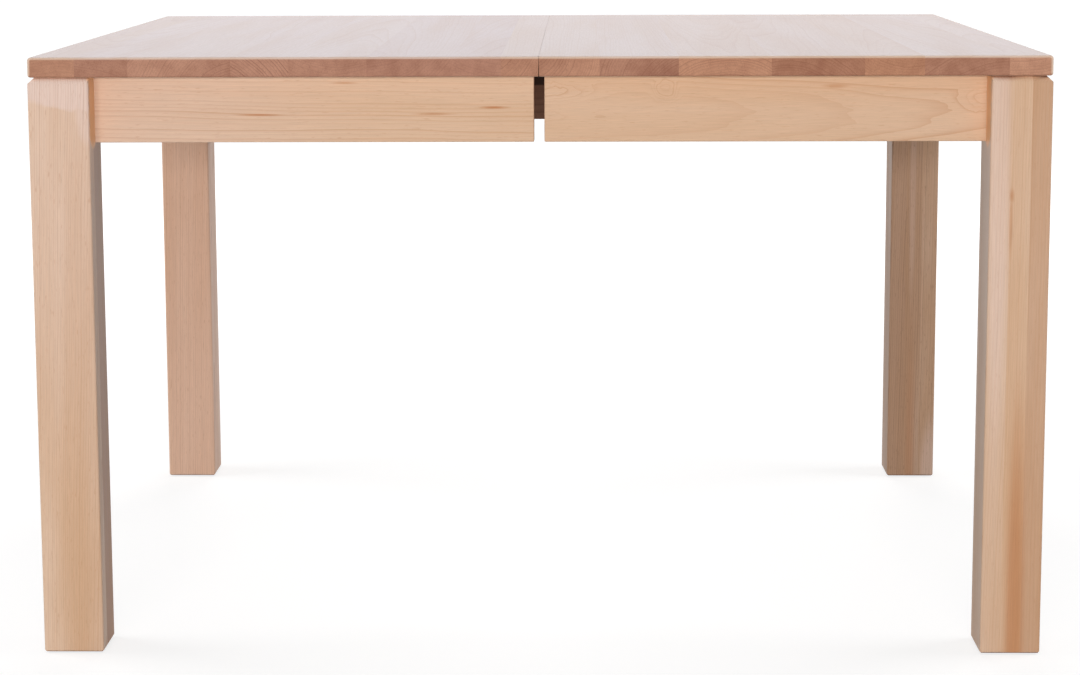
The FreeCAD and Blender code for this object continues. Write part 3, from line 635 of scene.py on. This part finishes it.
def wood(name, figure_tree, read, lines=0.8, drift=0.8, depth=0.55, ring_width=0.0029, dull=1.0, sheen=0.25,
         relief=0.06, marks=()):
    """A finished wood. Dull scales the roughness, and marks names ovals for the figure's sockets."""
    material, tree = new_material(name)
    strengths = {"Lines": lines, "Drift": drift, "Depth": depth, "Ring width": ring_width}
    drawn = {socket: ovals(tree, spots) for socket, spots in dict(marks).items()}
    figure = tree.nodes.new("ShaderNodeGroup")
    figure.node_tree = figure_tree
    for socket, value in {**strengths, **read(tree), **drawn}.items():
        if isinstance(value, bpy.types.NodeSocket):
            tree.links.new(value, figure.inputs[socket])
        else:
            figure.inputs[socket].default_value = value
    bump = put(tree, "ShaderNodeBump", {"Height": figure.outputs["Height"], "Strength": relief,
                                        "Distance": relief_height})
    ends = figure.outputs["Ends"]
    rough = calc(tree, "MULTIPLY", figure.outputs["Roughness"], dull)
    rough = calc(tree, "MULTIPLY_ADD", ends, end_roughness, rough)
    gloss = calc(tree, "MULTIPLY_ADD", ends, -end_sheen_loss * sheen, sheen)
    skin = {"Base Color": figure.outputs["Colour"], "Roughness": rough, "Normal": bump.outputs[0],
            "IOR": lacquer_ior, "Specular IOR Level": gloss}
    lacquer = put(tree, "ShaderNodeBsdfPrincipled", skin)
    put(tree, "ShaderNodeOutputMaterial", {"Surface": lacquer.outputs[0]})
    return material


maple_top = wood("maple_top_lacquer", top_figure, on_boards("y"), lines=0.4, drift=0.5, depth=0.14,
                 ring_width=0.0036, dull=0.44, sheen=0.5, relief=0.03)
print(maple_top.name, "of", len(maple_top.node_tree.nodes), "nodes round its figure")

# %% [markdown]
# ## The two halves of the top
# Each half is a panel of staves that run from front to back, edge-glued. So the front edge shows end grain,
# and every stave differs there in tone and in how its rings lie.

# %% Staves of the top
left_staves = [
    Board(-0.5758, 0.42, 0.3, (0.015, -0.11), boldness=0.35),
    Board(-0.5095, 0.56, -0.2, (-0.03, -0.14), boldness=0.35),
    Board(-0.3816, 0.4, -0.2, (0.08, -0.05), boldness=0.6),
    Board(-0.3101, 0.38, -0.3, (-0.07, -0.07), boldness=1.0),
    Board(-0.2129, 0.5, -0.2, (0.02, 0.12)),
    Board(-0.1077, 0.53, -0.5, (-0.05, 0.10)),
    Board(-0.0467, 0.46, -0.6, (0.04, 0.13)),
    Board(0.0, 0.42, 0.3, (-0.06, 0.06), boldness=0.7),
]
right_staves = [
    Board(0.0754, 0.32, 0.3, (-0.05, 0.04), boldness=0.65),
    Board(0.1732, 0.54, 0.1, (0.07, -0.03), boldness=0.65),
    Board(0.2878, 0.34, 0.5, (0.01, -0.09), boldness=0.7),
    Board(0.4026, 0.64, 0.45, (-0.04, -0.10), boldness=0.6),
    Board(0.4762, 0.4, 0.7, (0.03, 0.10), boldness=0.5),
    Board(0.5804, 0.63, 0.2, (0.05, -0.12), boldness=0.5),
    Board(0.635, 0.3, 0.3, (0.0, 0.13), boldness=0.5),
]
timber("left_top", "left_half", "y", "x", left_staves, 0, maple_top)
timber("right_top", "right_half", "y", "x", right_staves, len(left_staves), maple_top)

# %% [markdown]
# ## Aprons
# The aprons are single boards on edge. The left front one is sawn aslant to the rings and shows straight
# lines with a few golden streaks. The right front one is flat-sawn, with faint arches and a small closed
# ring, which is a swelling of the rings round a dimple.

# %% Marks on the front aprons
apron_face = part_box("left_front_apron")[0].y
apron_ends = (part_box("left_front_apron")[0].x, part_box("right_front_apron")[1].x)
left_streaks = [
    Oval((-0.244, apron_face, 0.727), (0.024, 0.03, 0.0022), 0.45),
    Oval((-0.351, apron_face, 0.687), (0.042, 0.03, 0.0022), 0.64),
    Oval((-0.132, apron_face, 0.688), (0.036, 0.03, 0.0024), 0.5),
    Oval((-0.057, apron_face, 0.696), (0.026, 0.03, 0.0026), 0.74),
]
left_pale_end = [Oval((apron_ends[0], apron_face, 0.70), (0.42, 0.2, 0.3), 0.4)]
right_streaks = [Oval((0.370, apron_face, 0.722), (0.024, 0.03, 0.004), 0.4)]
right_dimples = [
    Oval((0.158, apron_face, 0.716), (0.024, 0.05, 0.020), 0.010, waver=0.012),
    Oval((0.0, apron_face, 0.712), (0.105, 0.05, 0.020), 0.009, waver=0.012),
    Oval((0.0, apron_face, 0.684), (0.080, 0.05, 0.014), 0.006, waver=0.012),
    Oval((apron_ends[1], apron_face, 0.706), (0.055, 0.05, 0.022), 0.008, waver=0.012),
]
print("front aprons: face at", round(apron_face, 4), "ends at", [round(x, 4) for x in apron_ends])

# %% Aprons
apron_maple = {
    "left_front": wood("maple_left_front_apron", maple_figure, on_boards("x"), lines=1.1, drift=0.5,
                       marks={"Stain and shadow": left_streaks, "Sapwood and light": left_pale_end}),
    "right_front": wood("maple_right_front_apron", maple_figure, on_boards("x"), lines=0.95, drift=0.4,
                        marks={"Stain and shadow": right_streaks, "Swell": right_dimples}),
    "along": wood("maple_back_apron", maple_figure, on_boards("x")),
    "across": wood("maple_end_apron", maple_figure, on_boards("y")),
}
apron_boards = {  # tone, warmth, pith and lean of each
    "left_front": (0.13, 0.36, (-0.13, 0.23), (0.006, 0.01)),
    "right_front": (0.1, 0.17, (-0.015, 0.10), (0.012, 0.02)),
    "left_back": (0.22, 0.1, (0.02, -0.11), (0.02, 0.02)),
    "right_back": (0.2, 0.0, (0.13, -0.22), (0.01, 0.01)),
    "left_end": (0.2, 0.1, (0.03, 0.12), (0.02, 0.02)),
    "right_end": (0.22, 0.0, (-0.10, 0.20), (0.01, 0.02)),
}
apron_log = 20
for number, (place, board) in enumerate(apron_boards.items()):
    node = place + "_apron"
    half = place.split("_")[0] + "_half"
    grain = "y" if place.endswith("end") else "x"
    finish = apron_maple.get(place) or apron_maple["across" if grain == "y" else "along"]
    boards = [Board(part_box(node)[1].z, *board)]
    timber(node, half, grain, "z", boards, apron_log + number, finish)

# %% [markdown]
# ## Legs
# A leg that thick is glued up from three boards. On the left legs the glue lines run along the front face,
# so the front shows one flat-sawn board. On the right legs they are turned a quarter, so the front shows
# three narrow strips of different tone.

# %% Marks on the legs
leg_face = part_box("front_left_leg")[0].y
back_leg_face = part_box("back_left_leg")[0].y
inner_sides = (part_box("front_left_leg")[1].x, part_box("front_right_leg")[0].x)
corner_heights = [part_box("left_front_apron")[0].z + 0.0155 + 0.022 * i for i in range(4)]


def corner_bounce_light(x):
    """Painted warm bounce light where an apron meets the leg, as a row of ovals one above the other."""
    middle_y = (leg_face + apron_face) / 2 + 0.0065
    return [Oval((x, middle_y, z), (0.006, 0.026, 0.024), core=0.7) for z in corner_heights]


front_left_pale = [
    Oval((-0.553, leg_face, 0.746), (0.130, 0.06, 0.056), 0.7, 0.85, 0.012),
    Oval((-0.560, leg_face, 0.690), (0.024, 0.06, 0.055), 0.55, 0.4, 0.008),
    Oval((-0.597, leg_face, 0.580), (0.200, 0.06, 0.500), 0.24),
]
front_right_streaks = [
    Oval((0.5865, leg_face, 0.588), (0.0045, 0.03, 0.014), 0.45),
    Oval((0.586, leg_face, 0.550), (0.0035, 0.03, 0.060), 0.35),
    Oval((0.601, leg_face, 0.04), (0.017, 0.05, 0.38), 0.54, 0.25),
]
front_right_pale = [Oval((0.571, leg_face, 0.65), (0.016, 0.06, 0.50), 0.42, 0.4)]
# Painted light: the back left leg is lighter towards its foot, standing in for floor bounce and the top's
# shade above it.
back_left_lit_foot = [Oval((-0.597, back_leg_face, 0.0), (0.2, 0.3, 0.55), 0.45)]
back_right_streaks = [Oval((0.596, back_leg_face, 0.05), (0.012, 0.03, 0.24), 0.25)]
back_right_pale = [
    Oval((0.594, back_leg_face, 0.50), (0.007, 0.03, 0.26), 0.16, 0.4),
    Oval((0.630, back_leg_face, 0.0), (0.024, 0.03, 0.12), 0.3, 0.4),
]
print("legs: faces at", round(leg_face, 4), round(back_leg_face, 4))

# %% Legs
# The bounce light ovals paint warm light, reflected from the aprons, onto the front legs' inner sides.
leg_maple = {
    "front_left": wood("maple_front_left_leg", maple_figure, on_boards("z"), lines=1.2, depth=0.9,
                       marks={"Sapwood and light": front_left_pale, "Bounce light": corner_bounce_light(inner_sides[0])}),
    "front_right": wood("maple_front_right_leg", maple_figure, on_boards("z"),
                        marks={"Stain and shadow": front_right_streaks, "Bounce light": corner_bounce_light(inner_sides[1]),
                               "Sapwood and light": front_right_pale}),
    "back_left": wood("maple_back_left_leg", rosy_figure, on_boards("z"), lines=1.3,
                      marks={"Sapwood and light": back_left_lit_foot}),
    "back_right": wood("maple_back_right_leg", heart_figure, on_boards("z"), lines=1.4, drift=1.2, depth=0.72,
                       marks={"Stain and shadow": back_right_streaks, "Sapwood and light": back_right_pale}),
}
leg_boards = {  # the way of the glue-up, then tone, warmth, pith and lean of each board
    # The front left leg's two back boards are toned full brown to paint shade onto the leg's sides.
    "front_left": ("y", [
        (0.02, 0.0, (0.01, 0.075), (0.02, 0.03)),
        (1.0, -0.2, (0.05, -0.08), (0.0, 0.01)),
        (1.0, 0.0, (-0.05, 0.09), (0.01, 0.0)),
    ]),
    "back_left": ("y", [
        (0.12, 0.1, (0.0, 0.16), (0.02, 0.02)),
        (0.0, 0.0, (0.06, 0.18), (0.01, 0.01)),
        (0.1, 0.0, (-0.02, -0.16), (0.02, 0.02)),
    ]),
    "front_right": ("x", [
        (0.3, 0.15, (0.12, 0.05), (0.01, 0.01)),
        (0.25, 0.3, (0.14, -0.05), (0.01, 0.01)),
        (0.8, 0.35, (-0.12, 0.06), (0.01, 0.01)),
    ]),
    "back_right": ("x", [
        (1.0, 0.0, (0.10, 0.04), (0.01, 0.01)),
        (0.9, 0.0, (-0.12, 0.03), (0.01, 0.01)),
        (0.7, 0.0, (0.11, -0.06), (0.01, 0.01)),
    ]),
}
leg_log = 40
logs_per_leg = 4
for number, (place, (glue, strips)) in enumerate(leg_boards.items()):
    node = place + "_leg"
    half = place.split("_")[1] + "_half"
    start, stop = (corner[AXES[glue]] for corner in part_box(node))
    step = (stop - start) / len(strips)
    boards = [Board(start + step * (i + 1), *strip) for i, strip in enumerate(strips)]
    timber(node, half, "z", glue, boards, leg_log + logs_per_leg * number, leg_maple[place])

# %% [markdown]
# ## What works out of sight
# Behind the aprons are rails of a dark, waxed hardwood, bare corner blocks and buttons, plated steel, brass
# and nylon. Their modelled shapes are right already, so they only get a finish each. Only a strip of the
# front slide shows, in the gap between the aprons, and a painted shadow darkens it right under the top.
# Plating and moulded nylon are never quite even, so a little noise varies their colour and their gloss.

# %% Helpers for the hidden pieces


def dress(slot, material, only=""):
    """Gives the finish to the modelled nodes that have this slot."""
    names = [part["node"] for part in frame["record"]["subparts"] if part["material_slot"] == slot]
    names = [name for name in names if only in name]
    for name in names:
        frame["nodes"][name].data.materials[0] = material
    print(material.name, "on", len(names), "nodes")


def mottled(name, first, second, per_metre, smooth, rough, metallic=0.0):
    """A finish that drifts between two colours and between two roughnesses."""
    material, tree = new_material(name)
    spot = put(tree, "ShaderNodeTexCoord").outputs["Object"]
    drift = fade(tree, cloud(tree, spot, (per_metre,) * 3, detail=3.0), 0.3, 0.7)
    wear = fade(tree, cloud(tree, spot, (per_metre * 4,) * 3), 0.35, 0.65, smooth, rough)
    skin = {"Base Color": blend(tree, drift, first, second), "Roughness": wear, "Metallic": metallic}
    skin = put(tree, "ShaderNodeBsdfPrincipled", skin)
    put(tree, "ShaderNodeOutputMaterial", {"Surface": skin.outputs[0]})
    return material


# %% Finishes of the hidden pieces
# A painted shadow: a dark oval on the front slide just under the top, where the top's shade falls.
shade_below_top = 0.012
slide_shade = [Oval((0.0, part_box("front_left_rail")[0].y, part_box("left_top")[0].z - shade_below_top),
                    (0.04, 0.1, 0.0095), 0.8, 0.75, 0.004)]
slide_wood = wood("slide_wood_wax", slide_figure, in_one_block(tone=0.4, pith=(0.02, 0.86)),
                  marks={"Stain and shadow": slide_shade})
corner_block_wood = wood("corner_block_wood", block_figure,
                         in_one_block(tone=0.3, pith=(0.6, 0.78), turn=math.pi / 4, mirrored=True))
button_wood = wood("button_wood", block_figure,
                   in_one_block(tone=0.4, pith=(0.3, 0.8), turn=math.pi / 2, mirrored=True))
zinc_plate = mottled("zinc_plate", paint(196, 197, 196), paint(214, 214, 210), per_metre=70.0,
                     smooth=0.28, rough=0.42, metallic=1.0)
pin_brass = mottled("pin_brass", paint(196, 156, 84), paint(214, 178, 106), per_metre=60.0,
                    smooth=0.2, rough=0.34, metallic=1.0)
gear_nylon = mottled("gear_nylon_white", paint(222, 217, 204), paint(234, 230, 220), per_metre=45.0,
                     smooth=0.38, rough=0.5)
glide_nylon = mottled("glide_nylon_brown", paint(104, 78, 60), paint(124, 96, 74), per_metre=60.0,
                      smooth=0.4, rough=0.55)
dress("slide_wood", slide_wood)
dress("block_wood", corner_block_wood, "corner_blocks")
dress("block_wood", button_wood, "top_buttons")
dress("zinc_steel", zinc_plate)
dress("brass", pin_brass)
dress("gear_nylon", gear_nylon)
dress("glide_nylon", glide_nylon)

# %% [markdown]
# ## Screws and bolts
# A wood screw has a domed head with a cross recess, a plain neck, and a thread that winds down to a point.
# A hanger bolt is threaded for wood at one end and for a nut at the other. Modelling each by hand would be
# slow, so Geometry Nodes builds one from its sizes and sets it at every seat. The seats are measured on the
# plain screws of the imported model.

# %% Where the screws sit


def shafts(node):
    """Each screw or bolt of the node: its blunt end, the way it points, and its length."""
    work = shape_of(node)
    loose = dict.fromkeys(work.verts)
    found = []
    while loose:
        group = [loose.popitem()[0]]
        for vert in group:
            beside = [edge.other_vert(vert) for edge in vert.link_edges]
            beside = [other for other in beside if other in loose]
            for other in beside:
                del loose[other]
            group.extend(beside)
        spots = [vert.co.copy() for vert in group]
        middle = sum(spots, Vector()) / len(spots)
        aim = max((spot - middle for spot in spots), key=lambda offset: offset.length)
        ahead = [spot for spot in spots if (spot - middle).dot(aim) > 0]
        behind = [spot for spot in spots if (spot - middle).dot(aim) <= 0]
        aim = (sum(ahead, Vector()) / len(ahead) - sum(behind, Vector()) / len(behind)).normalized()
        reach = [(spot - middle).dot(aim) for spot in spots]
        found.append((middle + aim * min(reach), aim, max(reach) - min(reach)))
    work.free()
    return found


for node in ("left_block_screws", "left_button_screws", "left_rail_screws", "left_hanger_bolts"):
    blunt_end, aim, length = shafts(node)[0]
    print(node, "first of", len(shafts(node)), [round(v, 4) for v in (*blunt_end, *aim, length)])

# %% Parts that both trees share
shaft_sides = 20
steps_per_turn = 16


def fastener_tree(name, sizes):
    """An empty tree with a named input for each size, for the seed and for the finish."""
    tree = bpy.data.node_groups.new(name, "GeometryNodeTree")
    tree.interface.new_socket("Seats", in_out="INPUT", socket_type="NodeSocketGeometry")
    for size in sizes:
        tree.interface.new_socket(size, in_out="INPUT", socket_type="NodeSocketFloat")
    tree.interface.new_socket("Seed", in_out="INPUT", socket_type="NodeSocketInt")
    tree.interface.new_socket("Finish", in_out="INPUT", socket_type="NodeSocketMaterial")
    tree.interface.new_socket("Geometry", in_out="OUTPUT", socket_type="NodeSocketGeometry")
    return tree, put(tree, "NodeGroupInput").outputs


def triple(tree, x, y, z):
    return put(tree, "ShaderNodeCombineXYZ", {"X": x, "Y": y, "Z": z}).outputs[0]


def raised(tree, geometry, height):
    moved = {"Geometry": geometry, "Translation": triple(tree, 0.0, 0.0, height)}
    return put(tree, "GeometryNodeTransform", moved).outputs[0]


def rod(tree, radius, top, length):
    """A cylinder that hangs down from a height."""
    sizes = {"Vertices": shaft_sides, "Radius": radius, "Depth": length}
    round_bar = put(tree, "GeometryNodeMeshCylinder", sizes)
    return raised(tree, round_bar.outputs[0], calc(tree, "MULTIPLY_ADD", length, -0.5, top))


def thread(tree, root, depth, bottom, length, pitch):
    """A three-cornered ridge that winds up round the shaft."""
    winding = {"Resolution": steps_per_turn, "Rotations": calc(tree, "DIVIDE", length, pitch),
               "Start Radius": root, "End Radius": root, "Height": length}
    path = put(tree, "GeometryNodeCurveSpiral", winding).outputs[0]
    path = put(tree, "GeometryNodeSetCurveNormal", {"Curve": path}, mode="Z_UP").outputs[0]
    ridge = put(tree, "GeometryNodeCurvePrimitiveCircle", {"Resolution": 3, "Radius": depth}).outputs[0]
    wound = {"Curve": path, "Profile Curve": ridge, "Fill Caps": True}
    return raised(tree, put(tree, "GeometryNodeCurveToMesh", wound).outputs[0], bottom)


def join(tree, parts):
    joined = tree.nodes.new("GeometryNodeJoinGeometry")
    for part in parts:
        tree.links.new(part, joined.inputs[0])
    return joined.outputs[0]


def set_at_seats(tree, given, one):
    """One fastener at every seat, turned to point along the seat's aim, and then about itself by chance."""
    aim = put(tree, "GeometryNodeInputNamedAttribute", {"Name": "aim"}, data_type="FLOAT_VECTOR").outputs[0]
    back = calc_vector(tree, "SCALE", aim)
    back.node.inputs["Scale"].default_value = -1.0
    upright = put(tree, "FunctionNodeAlignRotationToVector", {"Vector": back}, axis="Z").outputs[0]
    chance = put(tree, "FunctionNodeRandomValue", {"Seed": given["Seed"], 3: math.tau}, data_type="FLOAT")
    about = {"Axis": (0.0, 0.0, 1.0), "Angle": chance.outputs[1]}
    twist = put(tree, "FunctionNodeAxisAngleToRotation", about)
    turned = {"Rotation": upright, "Rotate By": twist.outputs[0]}
    turned = put(tree, "FunctionNodeRotateRotation", turned, rotation_space="LOCAL").outputs[0]
    copies = {"Points": given["Seats"], "Instance": one, "Rotation": turned}
    copies = put(tree, "GeometryNodeInstanceOnPoints", copies).outputs[0]
    real = put(tree, "GeometryNodeRealizeInstances", {"Geometry": copies}).outputs[0]
    finished = put(tree, "GeometryNodeSetMaterial", {"Geometry": real, "Material": given["Finish"]})
    put(tree, "NodeGroupOutput", {"Geometry": finished.outputs[0]})


print("shafts have", shaft_sides, "sides, threads", steps_per_turn, "steps per turn")

# %% The wood screw's tree
recess_arm = 1.1  # shares of the head's radius
recess_width = 0.26
recess_depth = 0.8
screw_root = 0.66  # shares of the neck's radius
screw_ridge = 0.32
plain_neck = 0.3  # share of the length


def screw_head(tree, wide, tall):
    """The upper half of a flattened ball, with a cross cut into it."""
    ball = put(tree, "GeometryNodeMeshUVSphere", {"Segments": 24, "Rings": 12, "Radius": 1.0}).outputs[0]
    flat = {"Geometry": ball, "Scale": triple(tree, wide, wide, tall)}
    flat = put(tree, "GeometryNodeTransform", flat).outputs[0]
    broad = calc(tree, "MULTIPLY", wide, 3.0)
    above = triple(tree, broad, broad, calc(tree, "MULTIPLY", tall, 2.0))
    above = put(tree, "GeometryNodeMeshCube", {"Size": above})
    dome = tree.nodes.new("GeometryNodeMeshBoolean")
    dome.operation = "INTERSECT"
    for solid in (flat, raised(tree, above.outputs[0], tall)):
        tree.links.new(solid, dome.inputs["Mesh 2"])
    recess = put(tree, "GeometryNodeMeshBoolean", {"Mesh 1": dome.outputs[0]}, operation="DIFFERENCE")
    shares = (recess_arm, recess_width, recess_depth)
    arm, thin, deep = (calc(tree, "MULTIPLY", wide, share) for share in shares)
    for size in ((arm, thin, deep), (thin, arm, deep)):
        wing = put(tree, "GeometryNodeMeshCube", {"Size": triple(tree, *size)}).outputs[0]
        tree.links.new(raised(tree, wing, tall), recess.inputs["Mesh 2"])
    return recess.outputs[0]


def wood_screw_tree():
    sizes = ("Head radius", "Head height", "Neck radius", "Length", "Tip length", "Thread pitch")
    tree, given = fastener_tree("wood_screws", sizes)
    neck, length, tip = given["Neck radius"], given["Length"], given["Tip length"]
    head = screw_head(tree, given["Head radius"], given["Head height"])
    root = calc(tree, "MULTIPLY", neck, screw_root)
    shaft = calc(tree, "SUBTRACT", length, tip)
    plain = calc(tree, "MULTIPLY", length, plain_neck)
    wound = calc(tree, "SUBTRACT", shaft, plain)
    foot = calc(tree, "MULTIPLY", shaft, -1.0)
    point = {"Vertices": shaft_sides, "Radius Top": root, "Radius Bottom": 0.0, "Depth": tip}
    point = put(tree, "GeometryNodeMeshCone", point).outputs[0]
    point = raised(tree, point, calc(tree, "MULTIPLY", length, -1.0))
    ridge = calc(tree, "MULTIPLY", neck, screw_ridge)
    ridge = thread(tree, root, ridge, foot, wound, given["Thread pitch"])
    parts = [head, rod(tree, neck, 0.0, plain), rod(tree, root, 0.0, shaft), point, ridge]
    set_at_seats(tree, given, join(tree, parts))
    return tree


wood_screws = wood_screw_tree()
print("the wood screw's tree has", len(wood_screws.nodes), "nodes")

# %% The hanger bolt's tree
bolt_root = 0.8  # shares of the bolt's radius
bolt_ridge = 0.18
bolt_collar = 2.0


def hanger_bolt_tree():
    sizes = ("Radius", "Length", "Wood bite", "Wood pitch", "Nut pitch")
    tree, given = fastener_tree("hanger_bolts", sizes)
    radius, length, bite = given["Radius"], given["Length"], given["Wood bite"]
    root = calc(tree, "MULTIPLY", radius, bolt_root)
    fine = calc(tree, "MULTIPLY", radius, bolt_ridge)
    foot = calc(tree, "MULTIPLY", length, -1.0)
    collar = calc(tree, "MULTIPLY", radius, bolt_collar)
    rest = calc(tree, "SUBTRACT", calc(tree, "SUBTRACT", length, bite), collar)
    fine_foot = calc(tree, "MULTIPLY", rest, -1.0)
    parts = [rod(tree, root, 0.0, length), rod(tree, radius, fine_foot, collar),
             thread(tree, root, fine, fine_foot, rest, given["Nut pitch"]),
             thread(tree, root, fine, foot, bite, given["Wood pitch"])]
    set_at_seats(tree, given, join(tree, parts))
    return tree


hanger_bolts = hanger_bolt_tree()
print("the hanger bolt's tree has", len(hanger_bolts.nodes), "nodes")

# %% From a tree to a plain mesh
thread_crease = math.radians(40)


def set_fasteners(node, tree, sizes, seats, length, seed):
    """Runs a tree over a node's seats and keeps the result as a plain mesh in the node's stead."""
    mesh = bpy.data.meshes.new(node + "_seats")
    mesh.from_pydata([seat for seat, aim in seats], [], [])
    aims = mesh.attributes.new("aim", "FLOAT_VECTOR", "POINT")
    for spot, (seat, aim) in zip(aims.data, seats):
        spot.vector = aim
    holder = bpy.data.objects.new(node + "_seats", mesh)
    bpy.context.scene.collection.objects.link(holder)
    builder = holder.modifiers.new("builder", "NODES")
    builder.node_group = tree
    values = {**sizes, "Length": length, "Seed": seed, "Finish": zinc_plate}
    for item in tree.interface.items_tree:
        if item.in_out == "INPUT" and item.name in values:
            builder[item.identifier] = values[item.name]
    ready = holder.evaluated_get(bpy.context.evaluated_depsgraph_get())
    plain = bpy.data.meshes.new_from_object(ready)
    bpy.data.objects.remove(holder)
    plain.name = node + "_threaded"
    plain.shade_smooth()
    plain.set_sharp_from_angle(angle=thread_crease)
    add_piece(plain.name, plain, frame["nodes"][node]["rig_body"], node)
    print(plain.name, len(seats), "set,", len(plain.polygons), "faces")


# %% Screws and bolts set
head_height = 0.0026
screw_sizes = {"Head radius": 0.0042, "Head height": head_height, "Neck radius": 0.0021,
               "Tip length": 0.004, "Thread pitch": 0.0022}
bolt_sizes = {"Radius": 0.004, "Wood bite": 0.036, "Wood pitch": 0.003, "Nut pitch": 0.00125}
screw_seed = 11
bolt_seed = 31
for number, node in enumerate(side + kind for side in ("left_", "right_")
                              for kind in ("block_screws", "button_screws", "rail_screws")):
    measured = shafts(node)
    seats = [(end + aim * head_height, aim) for end, aim, length in measured]
    set_fasteners(node, wood_screws, screw_sizes, seats, measured[0][2] - head_height, screw_seed + number)
for number, node in enumerate(("left_hanger_bolts", "right_hanger_bolts")):
    seats = []
    for end, aim, length in shafts(node):
        if aim.x * end.x < 0:
            end, aim = end + aim * length, -aim
        seats.append((end, aim))
    set_fasteners(node, hanger_bolts, bolt_sizes, seats, length, bolt_seed + number)
